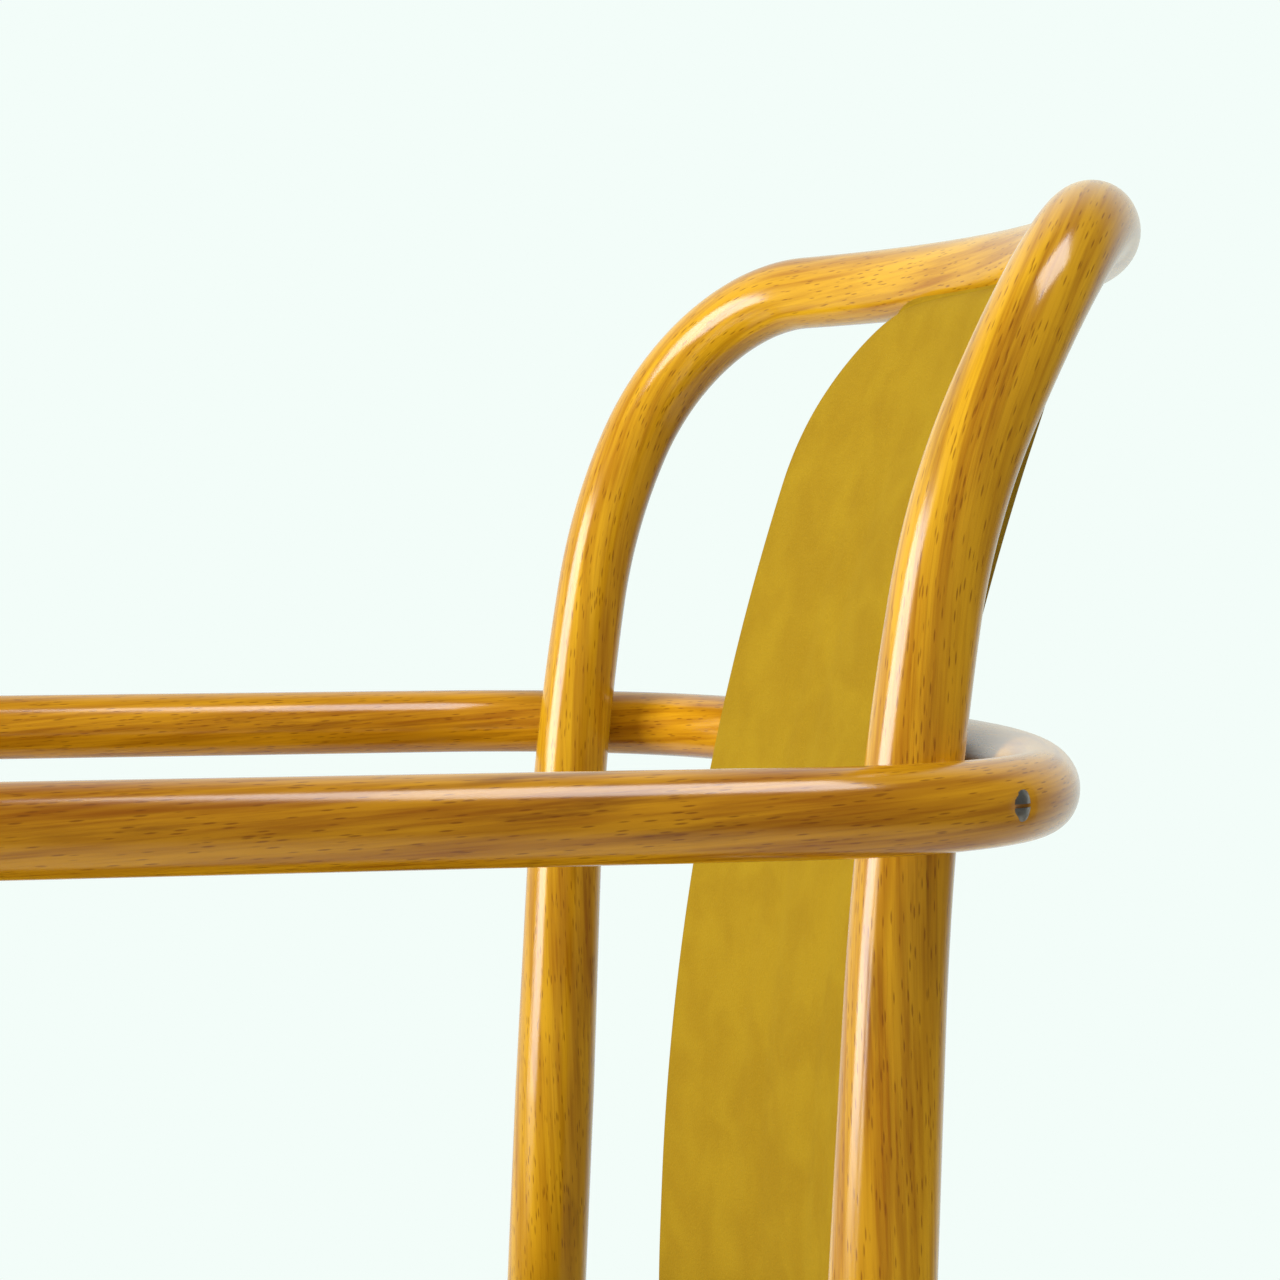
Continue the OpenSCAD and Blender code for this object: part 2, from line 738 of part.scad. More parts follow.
// Seat: plywood board, foam and a cover whose hem folds under the board
// Clearance between the cushion and the arm posts, and between the cushion and the back panel
post_clear = 2;
panel_clear = 2;
seat_side_in = post_lap + post_clear;
seat_rear_r = ring_inner_r - panel_front_t - cloth_t - panel_clear;
seat_soft = seat_belt(
    seat_rear_r,
    ring_rear_r - leg_bite - 2 * soft_gap,
    ring_front_w / 2 - seat_side_in - seat_over,
    ring_front_r + seat_over,
    ring_bow_r + seat_over
);
seat_mid_y = (seat_front_y + panel_axis_y + seat_rear_r) / 2;
seat_steps = 7;
seat_draw = 2.5;
seat_edge_r = 16;
seat_top = seat_lift + board_t + seat_side_h;
crown_shares = [0.9, 0.72, 0.5, 0.2];
edge_turns = [0, 30, 60, 90];
function seat_loop(share, inset, z) = [
    for (p = belt_outline(seat_soft, inset, seat_steps))
        [share * p.x, seat_mid_y + share * (p.y - seat_mid_y), ring_z + soft_gap + z]
];
// The rings over the cushion's edge and crown, drawn in by a depth below the cover's outer face
function seat_dome(depth) = [
    for (turn = edge_turns)
        seat_loop(
            1,
            seat_edge_r - (seat_edge_r - depth) * cos(turn),
            seat_top - seat_edge_r + (seat_edge_r - depth) * sin(turn)
        ),
    for (share = crown_shares)
        seat_loop(share, seat_edge_r, seat_top - depth + seat_crown * (1 - pow(share, 2)))
];
function reversed(list) = [for (i = [len(list) - 1:-1:0]) list[i]];
module seat_board() {
    color("#b98a52")
        difference() {
            translate([0, 0, board_z])
                linear_extrude(board_t)
                    polygon(belt_outline(seat_soft, seat_draw + seat_lift, seat_steps));
            both_sides()
                at_seat_screws()
                    screw_bore(seat_screw_l, screw_head_d);
        }
}
module seat_foam() {
    depth = cloth_t + soft_gap;
    color("#efe6c8")
        skin(concat(
            [seat_loop(1, seat_draw + depth, seat_lift + board_t)],
            seat_dome(depth)
        ));
}
module seat_cover() {
    color("#b0912f")
        skin(concat(
            reversed(seat_dome(cloth_t)),
            [
                seat_loop(1, seat_draw + cloth_t, cloth_t),
                seat_loop(1, seat_draw + hem_w, cloth_t),
                seat_loop(1, seat_draw + hem_w, 0),
                seat_loop(1, seat_draw, 0)
            ],
            seat_dome(0)
        ));
}

// Back panel: a moulded board with foam in front, wadding behind and one sleeve of cloth
panel_hug = 8.5;
panel_peak_z = rail_z - panel_hug;
panel_corner_z = panel_peak_z - panel_corner_r;
panel_edge = 13;
wadding_in = 12;
panel_foot_rise = 4;
panel_foot_z = ring_z + panel_foot_rise;
tongue_w = 180;
tongue_rise = 2;
tongue_z = ring_foot_z + tongue_rise;
hug_front = 4;
panel_power = 3.3;
panel_slack = 0.7;
panel_steps = 40;
panel_low_steps = 6;
panel_turns = [12, 24, 36, 47, 57, 66, 74, 80];
panel_close = 14;
function rail_arc_y(x) = rail_y - rail_bow_r + sqrt(pow(rail_bow_r, 2) - pow(x, 2));
// A point of the panel: off the middle surface, and no nearer to the rail's face than keep
function panel_point(x, z, off, keep) =
    let (
        y = panel_axis_y + sqrt(pow(panel_r + panel_fall(z) + off, 2) - pow(x, 2)),
        need = hoop_d / 2 + keep,
        dz = z - rail_z,
        stop = rail_arc_y(x) - sqrt(max(0, pow(need, 2) - pow(dz, 2))) / cos(asin(x / rail_bow_r))
    )
    [x, abs(dz) < need ? min(y, stop) : y, z];
// Levels of the panel from its foot to its top, as [height, half width], inside its edge by inset
function panel_levels(inset) = concat(
    [
        for (k = [0:panel_low_steps])
            [panel_foot_z + (panel_corner_z - panel_foot_z) * k / panel_low_steps, panel_w / 2 - inset]
    ],
    [
        for (turn = panel_turns)
            [
                panel_corner_z + (panel_corner_r - inset) * sin(turn),
                panel_w / 2 - panel_corner_r + (panel_corner_r - inset) * cos(turn)
            ]
    ]
);
function close_share(z, peak) =
    z < peak - panel_close ? 1 : pow(1 - pow((z - peak + panel_close) / panel_close, 3), 1 / 3);
function power_of(v) = sign(v) * pow(abs(v), 2 / panel_power);
// A loop round the panel: front and rear give [least, most] distance from the middle surface
function panel_loop(level, front, rear, keep_front, keep_rear, peak) = [
    for (i = [0:panel_steps - 1])
        let (
            turn = 360 * i / panel_steps,
            swell = abs(power_of(sin(turn))) * close_share(level[0], peak),
            face = turn > 180 ? front : rear,
            off = face[0] + (face[1] - face[0]) * swell
        )
        panel_point(
            level[1] * power_of(cos(turn)),
            level[0],
            turn > 180 ? -off : off,
            turn > 180 ? keep_front : keep_rear
        )
];
front_full = panel_board_t / 2 + panel_front_t + cloth_t;
rear_full = panel_board_t / 2 + panel_rear_t + cloth_t;
board_face = panel_board_t / 2 + board_gap;
function sleeve(inset) = [
    for (level = panel_levels(inset))
        panel_loop(
            level, [0, front_full - inset], [0, rear_full - inset],
            hug_front - inset, soft_gap + inset, panel_peak_z - inset
        )
];
module back_board() {
    front_profile = [
        for (k = [0:panel_steps / 4])
            let (z = panel_z + (rail_z - panel_z) * k / (panel_steps / 4))
            [panel_r + panel_fall(z) - panel_board_t / 2, z]
    ];
    steps = 8;
    board_turn = 60;
    r = panel_corner_r - panel_edge;
    cx = panel_w / 2 - panel_corner_r;
    cz = rail_z - hoop_d / 2 - seat_lift - r;
    color("#b98a52")
        difference() {
            intersection() {
                translate([0, panel_axis_y, 0])
                    rotate(90 - board_turn / 2)
                        rotate_extrude(angle = board_turn)
                            polygon(concat(
                                [[panel_r - panel_board_t / 2, tongue_z]],
                                front_profile,
                                reversed([for (p = front_profile) [p.x + panel_board_t, p.y]]),
                                [[panel_r + panel_board_t / 2, tongue_z]]
                            ));
                rotate([90, 0, 0])
                    linear_extrude(2 * chair_d, center = true)
                        polygon(concat(
                            [
                                [tongue_w / 2, 0],
                                [tongue_w / 2, panel_foot_z],
                                [cx + r, panel_foot_z]
                            ],
                            [for (k = [0:steps]) [cx, cz] + r * [cos(90 * k / steps), sin(90 * k / steps)]],
                            [for (k = [0:steps]) [-cx, cz] + r * [-sin(90 * k / steps), cos(90 * k / steps)]],
                            [
                                [-cx - r, panel_foot_z],
                                [-tongue_w / 2, panel_foot_z],
                                [-tongue_w / 2, 0]
                            ]
                        ));
            }
            both_sides() {
                at_back_screw()
                    screw_bore(back_screw_l, screw_head_d);
                at_dowel()
                    dowel_bore();
            }
        }
}
module back_foam() {
    inset = panel_edge + cloth_t;
    color("#efe6c8")
        skin([
            for (level = panel_levels(inset))
                panel_loop(
                    level, [board_face, front_full - cloth_t - panel_slack], [-board_face, -board_face],
                    hug_front - cloth_t - soft_gap, seat_lift, panel_peak_z
                )
        ]);
}
module back_wadding() {
    inset = panel_edge + cloth_t;
    color("#f3f0e6")
        skin([
            for (level = panel_levels(inset + wadding_in))
                panel_loop(
                    level, [-board_face, -board_face], [board_face, rear_full - cloth_t - panel_slack],
                    seat_lift, seat_lift, panel_peak_z
                )
        ]);
}
module back_cover() {
    color("#b0912f")
        difference() {
            skin(concat(reversed(sleeve(cloth_t)), sleeve(0)));
            both_sides()
                at_dowel()
                    dowel_bore();
        }
}

// Fasteners and glides
module arm_screws() {
    color("#8c8f93")
        both_sides()
            at_arm_screw()
                difference() {
                    union() {
                        wood_screw(arm_screw_l, arm_screw_head_d);
                        raised_head(arm_screw_head_d, arm_head_rise);
                    }
                    translate([-slot_w / 2, -arm_screw_head_d, -over])
                        cube([slot_w, 2 * arm_screw_head_d, over + slot_depth]);
                }
}
module arm_post_screws() {
    color("#8c8f93")
        both_sides()
            at_post_screws()
                wood_screw(post_screw_l, screw_head_d);
}
module rear_leg_bolts() {
    color("#8c8f93")
        both_sides()
            at_bolt() {
                raised_head(bolt_head_d, bolt_head_h);
                cylinder(h = bolt_grip + washer_t + nut_h + bolt_end, d = bolt_d);
            }
}
module rear_leg_washers() {
    color("#9a9da1")
        both_sides()
            at_bolt()
                translate([0, 0, bolt_grip])
                    difference() {
                        cylinder(h = washer_t, d = washer_d);
                        translate([0, 0, -over])
                            cylinder(h = washer_t + 2 * over, d = bolt_d + 2 * bore_gap);
                    }
}
module rear_leg_nuts() {
    color("#9a9da1")
        both_sides()
            at_bolt()
                translate([0, 0, bolt_grip + washer_t])
                    difference() {
                        cylinder(h = nut_h, d = nut_w / cos(30), $fn = 6);
                        translate([0, 0, -over])
                            cylinder(h = nut_h + 2 * over, d = bolt_d + 2 * bore_gap);
                    }
}
module leg_ring_screws() {
    color("#8c8f93")
        both_sides()
            at_brace_screws()
                wood_screw(brace_screw_l, screw_head_d);
}
module seat_screws() {
    color("#8c8f93")
        both_sides()
            at_seat_screws()
                wood_screw(seat_screw_l, screw_head_d);
}
module back_screws() {
    color("#8c8f93")
        both_sides()
            at_back_screw()
                wood_screw(back_screw_l, screw_head_d);
}
module back_dowels() {
    color("#e0c48e")
        both_sides()
            at_dowel()
                cylinder(h = dowel_in_board + dowel_in_rail, d = dowel_d);
}
module foot_glides() {
    color("#3b3029")
        both_sides()
            at_feet()
                difference() {
                    cylinder(h = glide_h, d = glide_d);
                    nail_bore();
                }
}
module glide_nails() {
    color("#8c8f93")
        both_sides()
            at_feet()
                translate([0, 0, nail_recess]) {
                    cylinder(h = nail_head_h, d = nail_head_d);
                    cylinder(h = nail_l - nail_recess, d = nail_d);
                }
}

back_hoop();
arm_hoop();
seat_ring();
front_leg_left();
front_leg_right();
leg_ring();
seat_board();
seat_foam();
seat_cover();
back_board();
back_foam();
back_wadding();
back_cover();
arm_screws();
arm_post_screws();
rear_leg_bolts();
rear_leg_washers();
rear_leg_nuts();
leg_ring_screws();
seat_screws();
back_screws();
back_dowels();
foot_glides();
glide_nails();
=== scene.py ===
import bpy
import numpy as np
from mathutils import Matrix, Vector


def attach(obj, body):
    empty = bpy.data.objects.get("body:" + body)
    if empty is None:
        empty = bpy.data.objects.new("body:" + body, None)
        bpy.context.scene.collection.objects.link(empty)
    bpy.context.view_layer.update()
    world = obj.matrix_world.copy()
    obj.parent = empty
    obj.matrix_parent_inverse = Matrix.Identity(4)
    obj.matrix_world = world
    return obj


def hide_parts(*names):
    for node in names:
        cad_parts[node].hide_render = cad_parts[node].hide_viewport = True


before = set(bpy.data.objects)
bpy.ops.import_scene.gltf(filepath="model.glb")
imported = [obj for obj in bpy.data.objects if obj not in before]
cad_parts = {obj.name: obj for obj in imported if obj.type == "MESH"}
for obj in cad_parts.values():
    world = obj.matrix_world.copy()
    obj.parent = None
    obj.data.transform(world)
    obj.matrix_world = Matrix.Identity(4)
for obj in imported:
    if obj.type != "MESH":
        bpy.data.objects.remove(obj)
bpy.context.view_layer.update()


# Camera: a long lens at elbow height beyond the sitter's left arm. It looks across the chair
# and a little down, and its frame takes in only the back and the rear half of the arms.
IMAGE_PX = 1280
FOCAL_PX = 3400
SENSOR_MM = 36.0
HORIZON_PX = 540
CAMERA_AT = np.array([1.2407, -0.219, 0.7494])
CAMERA_TURN = np.radians(14.82)
CLIP_START = 0.01


def aim(obj, at, ahead):
    """Put an object at a point with its -Z along a direction and its Y as near up as can be."""
    turn = Vector(ahead).to_track_quat("-Z", "Y")
    obj.matrix_world = Matrix.Translation(Vector(at)) @ turn.to_matrix().to_4x4()


def link(obj):
    """Add an object to the scene and hand it back."""
    bpy.context.scene.collection.objects.link(obj)
    return obj


lens = bpy.data.cameras.new("photo_camera")
lens.sensor_width = SENSOR_MM
lens.lens = SENSOR_MM * FOCAL_PX / IMAGE_PX
lens.clip_start = CLIP_START
camera = link(bpy.data.objects.new("photo_camera", lens))
drop = (IMAGE_PX / 2 - HORIZON_PX) / FOCAL_PX
aim(camera, CAMERA_AT, (-np.cos(CAMERA_TURN), np.sin(CAMERA_TURN), -drop))
bpy.context.scene.camera = camera
bpy.context.scene.view_settings.view_transform = "Standard"


# Room: a white, faintly green backdrop behind the chair that the camera and every reflection see,
# a darker room on the near side, a tall window in front, a soft box overhead, and a pale floor.
class Socket:
    """An output of a node, with arithmetic that builds Math nodes."""

    def __init__(self, tree, out):
        self.tree = tree
        self.out = out

    def node(self, kind, settings=None, **inputs):
        """Make a node, set its settings first, then its inputs by name or by number as i0, i1."""
        made = self.tree.nodes.new(kind)
        for key, value in (settings or {}).items():
            setattr(made, key, value)
        for key, value in inputs.items():
            name = key.replace("_", " ")
            numbered = key[0] == "i" and key[1:].isdigit()
            slot = made.inputs[int(key[1:])] if numbered else made.inputs[name]
            if isinstance(value, Socket):
                self.tree.links.new(value.out, slot)
            else:
                slot.default_value = value
        return made

    def math(self, operation, *values):
        """Add a Math node over sockets and plain numbers."""
        inputs = {f"i{k}": value for k, value in enumerate(values)}
        made = self.node("ShaderNodeMath", {"operation": operation}, **inputs)
        return Socket(self.tree, made.outputs[0])

    def __add__(self, other):
        return self.math("ADD", self, other)

    def __sub__(self, other):
        return self.math("SUBTRACT", self, other)

    def __mul__(self, other):
        return self.math("MULTIPLY", self, other)

    def __rsub__(self, other):
        return self.math("SUBTRACT", other, self)

    __radd__ = __add__
    __rmul__ = __mul__

    def step(self, low, high):
        """Rise smoothly from 0 at low to 1 at high."""
        made = self.node(
            "ShaderNodeMapRange", {"interpolation_type": "SMOOTHSTEP"},
            Value=self, From_Min=low, From_Max=high,
        )
        return Socket(self.tree, made.outputs[0])

    def scaled(self, x, y, z):
        """Stretch a vector by a factor on each axis."""
        made = self.node("ShaderNodeVectorMath", {"operation": "MULTIPLY"}, i0=self, i1=(x, y, z))
        return Socket(self.tree, made.outputs[0])

    def noise(self, scale, detail=2.0, roughness=0.5, distortion=0.0):
        """Noise over a vector, from 0 to 1."""
        made = self.node(
            "ShaderNodeTexNoise", None,
            Vector=self, Scale=scale, Detail=detail, Roughness=roughness, Distortion=distortion,
        )
        return Socket(self.tree, made.outputs[0])

    def pattern(self, drawn, scale, low, high, detail=2.0, roughness=0.5, distortion=0.0):
        """Noise over a vector times drawn on each axis, rising from 0 at low to 1 at high."""
        return self.scaled(*drawn).noise(scale, detail, roughness, distortion).step(low, high)

    def specks(self, scale):
        """The distance to the nearest of the random points, one in each cell."""
        made = self.node("ShaderNodeTexVoronoi", None, Vector=self, Scale=scale)
        return Socket(self.tree, made.outputs["Distance"])

    def mix(self, first, second):
        """Mix two colours by this mask."""
        made = self.node("ShaderNodeMix", {"data_type": "RGBA"}, i0=self, i6=first, i7=second)
        return Socket(self.tree, made.outputs[2])

    def length(self):
        """How long a vector is."""
        made = self.node("ShaderNodeVectorMath", {"operation": "LENGTH"}, i0=self)
        return Socket(self.tree, made.outputs["Value"])

    def xyz(self):
        """The three parts of a vector."""
        made = self.node("ShaderNodeSeparateXYZ", None, Vector=self)
        return [Socket(self.tree, out) for out in made.outputs]


def finish_of(name):
    """Start a material: hand back it, its Principled shader, and its Object coordinates."""
    material = bpy.data.materials.new(name)
    material.use_nodes = True
    tree = material.node_tree
    shader = next(n for n in tree.nodes if n.type == "BSDF_PRINCIPLED")
    coords = tree.nodes.new("ShaderNodeTexCoord")
    return material, shader, Socket(tree, coords.outputs["Object"])


def feed(shader, name, value):
    """Join a socket to one of the shader's inputs, or set a plain value on it."""
    if isinstance(value, Socket):
        value.tree.links.new(value.out, shader.inputs[name])
    else:
        shader.inputs[name].default_value = value


def rgb(red, green, blue):
    """A colour from 0 to 255 as the eye sees it, as the four numbers that a socket takes."""
    seen = np.array([red, green, blue]) / 255.0
    light = np.where(seen <= 0.04045, seen / 12.92, ((seen + 0.055) / 1.055) ** 2.4)
    return (*light.tolist(), 1.0)


BACKDROP = rgb(243, 253, 249)
SHADE = rgb(255, 236, 212)
NEAR_MIRROR = 0.12
NEAR_SHADE = 0.68
FAR_SHADE = 0.16
MIRROR_AT = (-0.7, -0.1)
SHADE_AT = (-0.5, 1.2)
world = bpy.data.worlds.new("studio")
world.use_nodes = True
bpy.context.scene.world = world
sky = world.node_tree
sky.nodes.clear()
rays = sky.nodes.new("ShaderNodeLightPath")
mirrored = Socket(sky, rays.outputs["Is Glossy Ray"])
direct = Socket(sky, rays.outputs["Is Camera Ray"])
seen = direct.math("MAXIMUM", direct, Socket(sky, rays.outputs["Is Transmission Ray"]))
side, depth, _ = Socket(sky, sky.nodes.new("ShaderNodeTexCoord").outputs["Generated"]).xyz()
mirror = 1.0 - side.step(*MIRROR_AT) * (1.0 - NEAR_MIRROR)
shade = FAR_SHADE + (side - depth).step(*SHADE_AT) * (NEAR_SHADE - FAR_SHADE)
strength = seen + mirrored * mirror + (1.0 - seen - mirrored) * shade
colour = seen.math("MAXIMUM", seen, mirrored).mix(SHADE, BACKDROP)
shown = seen.node("ShaderNodeBackground", None, Color=colour, Strength=strength)
out = sky.nodes.new("ShaderNodeOutputWorld")
sky.links.new(shown.outputs[0], out.inputs["Surface"])

# Each light: name, place, the point it looks at, width, height, and watts
LIGHTS = [
    ("window_light", (0.0, -2.45, 1.0), (0.1, 0.1, 0.78), 1.5, 1.5, 80.0),
    ("over_light", (0.75, 0.65, 2.6), (0.35, 0.4, 0.7), 1.0, 0.9, 26.0),
]
for name, at, to, width, height, watts in LIGHTS:
    lamp = bpy.data.lights.new(name, "AREA")
    lamp.shape = "RECTANGLE"
    lamp.size = width
    lamp.size_y = height
    lamp.energy = watts
    aim(link(bpy.data.objects.new(name, lamp)), at, Vector(to) - Vector(at))

FLOOR_R = 2.0
FLOOR_FADE = (0.75, 1.95)
FLOOR_SIDES = 96
FLOOR_PALE = rgb(240, 246, 243)
FLOOR_ROUGH = 0.7
floor_mesh = bpy.data.meshes.new("floor")
turns = np.linspace(0, 2 * np.pi, FLOOR_SIDES, endpoint=False)
rim = FLOOR_R * np.column_stack([np.cos(turns), np.sin(turns), np.zeros(FLOOR_SIDES)])
floor_mesh.from_pydata(rim.tolist(), [], [list(range(FLOOR_SIDES))])
floor = link(bpy.data.objects.new("floor", floor_mesh))
paint, shader, place = finish_of("pale_floor")
feed(shader, "Base Color", FLOOR_PALE)
feed(shader, "Roughness", FLOOR_ROUGH)
clear = place.node("ShaderNodeBsdfTransparent")
faded = place.node("ShaderNodeMixShader", None, i0=place.length().step(*FLOOR_FADE))
place.tree.links.new(shader.outputs[0], faded.inputs[1])
place.tree.links.new(clear.outputs[0], faded.inputs[2])
ending = next(n for n in place.tree.nodes if n.type == "OUTPUT_MATERIAL")
place.tree.links.new(faded.outputs[0], ending.inputs["Surface"])
floor_mesh.materials.append(paint)


# Back hoop: one beech rod, steamed and bent on a form, that makes both rear legs, the uprights
# and the top rail. It is thickest at the seat, sanded smooth, and finished in amber lacquer.
# The legs run down from the seat on a backward kick.
# In names, D is a diameter, R a radius, and X, Y and Z are places, all in metres
GRAIN = "grain"
GRAIN_TWIST = 5.0
STATION_GAP = 0.003
ROD_SIDES = 48
SPAN = 0.4480
RAIL_D = 0.0304
LOW_D = 0.0330
SEAT_D = 0.0350
FOOT_D = 0.0260
RAIL_Y = 0.2638
RAIL_Z = 0.8558
RAIL_BOW_R = 0.3620
RAIL_SWEEP = np.radians(26.5)
LEAN_TOP = np.radians(24.2)
LEAN_MID = np.radians(9.0)
LEAN_LOW = np.radians(2.5)
LEAN_TOP_R = 0.2600
LEAN_LOW_R = 1.1500
TAPER_Z = 0.504749
KICK_Z = 0.3430
KICK = np.radians(16.0)
KICK_R = 0.4800
GLIDE_H = 0.0040
FOOT_ROUND = 0.0015
SIDE = np.array([1.0, 0.0, 0.0])
FRONT = np.array([0.0, -1.0, 0.0])


def unit(v):
    """A vector over its own length."""
    return v / np.linalg.norm(v, axis=-1, keepdims=True)


def count_over(run):
    """How many stations a run needs, both ends among them."""
    return max(2, int(np.ceil(run / STATION_GAP)) + 1)


def stations(path, start, heading, *moves):
    """Add moves to a path: a length goes straight on, and a (heading, radius) pair bends there.

    On a bend of radius r from heading h to g, with s the unit part of g square to h, the point at
    turn t is p + r sin t h + r (1 - cos t) s, and the heading there is cos t h + sin t s.
    """
    for move in moves:
        if isinstance(move, tuple):
            ahead, r = move
            s = unit(ahead - (ahead @ heading) * heading)
            total = np.arccos(np.clip(ahead @ heading, -1, 1))
            t = np.linspace(0, total, count_over(total * r))[:, None]
            points = start + r * np.sin(t) * heading + r * (1 - np.cos(t)) * s
            ways = np.cos(t) * heading + np.sin(t) * s
        else:
            t = np.linspace(0, move, count_over(move))[:, None]
            points = start + t * heading
            ways = np.repeat(heading[None], len(t), axis=0)
        path[0].append(points[1:])
        path[1].append(ways[1:])
        start, heading = points[-1], ways[-1]
    return start, heading


def grid_mesh(name, points, closed_along=False, caps=False):
    """Quads over a grid of stations by sides, joined across, with flat end caps if asked."""
    n, m = points.shape[:2]
    rows = np.arange(n if closed_along else n - 1)
    i, j = np.meshgrid(rows, np.arange(m), indexing="ij")
    a, b = i * m + j, i * m + (j + 1) % m
    c, d = ((i + 1) % n) * m + (j + 1) % m, ((i + 1) % n) * m + j
    faces = np.stack([a, b, c, d], axis=-1).reshape(-1, 4).tolist()
    if caps:
        faces += [list(range(m))[::-1], list(range((n - 1) * m, n * m))]
    mesh = bpy.data.meshes.new(name)
    mesh.from_pydata(points.reshape(-1, 3).tolist(), [], faces)
    mesh.update()
    mesh.shade_smooth()
    return mesh


def store(mesh, name, vectors):
    """Keep a vector for each point of the mesh as an attribute that materials can read."""
    layer = mesh.attributes.new(name, "FLOAT_VECTOR", "POINT")
    layer.data.foreach_set("vector", np.ascontiguousarray(vectors, dtype=np.float32).ravel())


def rod(name, points, headings, radii):
    """A rod through its stations: rings of the given radii, carried on without twisting.

    A ring's point k stands at p + r (cos a u + sin a w), with a = 2 pi k / sides, u carried from
    ring to ring square to the heading, and w = heading x u. The first and last stretches are
    rounded off by FOOT_ROUND. The grain attribute is the same rod laid out straight along Z, and
    wound by GRAIN_TWIST for each metre, as the fibres of a bent rod run a little round it.
    """
    along = np.concatenate([[0], np.cumsum(np.linalg.norm(np.diff(points, axis=0), axis=1))])
    u = np.empty_like(points)
    side = unit(np.cross(headings[0], SIDE))
    for k, way in enumerate(headings):
        side = unit(side - (side @ way) * way)
        u[k] = side
    w = np.cross(headings, u)
    a = np.linspace(0, 2 * np.pi, ROD_SIDES, endpoint=False)[None, :, None]
    to_end = np.minimum(along, along[-1] - along)
    short = np.clip(FOOT_ROUND - to_end, 0, None)
    trimmed = radii - FOOT_ROUND + np.sqrt(np.clip(FOOT_ROUND**2 - short**2, 0, None))
    ring = np.cos(a) * u[:, None] + np.sin(a) * w[:, None]
    mesh = grid_mesh(name, points[:, None] + trimmed[:, None, None] * ring, caps=True)
    wound = a + GRAIN_TWIST * along[:, None, None]
    flat = np.concatenate(
        [radii[:, None, None] * np.cos(wound), radii[:, None, None] * np.sin(wound),
         np.broadcast_to(along[:, None, None], (len(along), ROD_SIDES, 1))], axis=-1
    )
    store(mesh, GRAIN, flat.reshape(-1, 3))
    return link(bpy.data.objects.new(name, mesh))


def both_halves(points, headings, radii):
    """A whole rod from its left half: the half mirrored in X and run backwards, then the half."""
    flip = np.array([-1.0, 1.0, 1.0])
    return (
        np.concatenate([points[:0:-1] * flip, points]),
        np.concatenate([-headings[:0:-1] * flip, headings]),
        np.concatenate([radii[:0:-1], radii]),
    )


def downward(lean):
    """The way down an upright that leans back by an angle."""
    return np.array([0.0, -np.sin(lean), -np.cos(lean)])


rail_way = np.array([np.cos(RAIL_SWEEP), -np.sin(RAIL_SWEEP), 0.0])
rail_end_x = RAIL_BOW_R * np.sin(RAIL_SWEEP)
corner_run = (SPAN / 2 - rail_end_x) / np.cos(RAIL_SWEEP)
corner_turn = np.arccos(rail_way @ downward(LEAN_TOP))
corner_r = corner_run / np.tan(corner_turn / 2)
start = np.array([0.0, RAIL_Y, RAIL_Z])
hoop = ([start[None]], [SIDE[None]])
at, way = stations(
    hoop, start, SIDE, (rail_way, RAIL_BOW_R), (downward(LEAN_TOP), corner_r),
    (downward(LEAN_MID), LEAN_TOP_R),
)
taper_top_z = at[2]
at, way = stations(hoop, at, way, (downward(LEAN_LOW), LEAN_LOW_R))
taper_low_z = at[2]
at, way = stations(hoop, at, way, (at[2] - KICK_Z) / np.cos(LEAN_LOW), (downward(-KICK), KICK_R))
kick_low_z = at[2]
stations(hoop, at, way, (at[2] - GLIDE_H) / np.cos(KICK))
points, headings = np.concatenate(hoop[0]), np.concatenate(hoop[1])
levels = [GLIDE_H, kick_low_z, TAPER_Z, taper_low_z, taper_top_z]
radii = np.interp(points[:, 2], levels, [FOOT_D / 2, SEAT_D / 2, SEAT_D / 2, LOW_D / 2, RAIL_D / 2])
back_hoop = rod("bent_back_hoop", *both_halves(points, headings, radii))


# The lacquered beech of every rod. Its grain is long and fine, with the short dark flecks that
# beech shows, under a clear amber coat that hands have worn to dark streaks.
FLECK_DRAWN = (1, 1, 0.13)
FLECK_SCALE = 800
FLECK_AT = (0.12, 0.30)
CLOUD_SHARE = 0.35
BAND_SHARE = 0.4
LINE_SHARE = 0.25
FLECK_SHARE = 0.6
ROD_WEAR_SHARE = 0.65
GRAIN_DEPTH = 0.00005
BEECH_ROUGH = 0.42
SMEAR_ROUGH = 0.14
COAT_ROUGH = 0.17
COAT_IOR = 1.5
AMBER_LIGHT = rgb(216, 168, 30)
AMBER_DEEP = rgb(162, 106, 8)
AMBER_FLECK = rgb(120, 68, 8)
AMBER_WORN = rgb(112, 58, 4)
# Each pattern: how it is drawn out on each axis, its scale, its low and high, detail, roughness
CLOUDS = ((1, 1, 0.22), 45, 0.35, 0.68, 3)
BANDS = ((1, 1, 0.04), 210, 0.42, 0.62, 2)
LINES = ((1, 1, 0.035), 900, 0.40, 0.70, 3)
WORN = ((1, 1, 0.09), 95, 0.56, 0.78, 5, 0.6)
SMEARS = ((1, 1, 0.5), 28, 0.45, 0.7, 4)


def bump(shader, height, distance):
    """Raise the surface by a height map over a distance in metres."""
    made = height.node("ShaderNodeBump", None, Height=height, Distance=distance)
    feed(shader, "Normal", Socket(height.tree, made.outputs[0]))


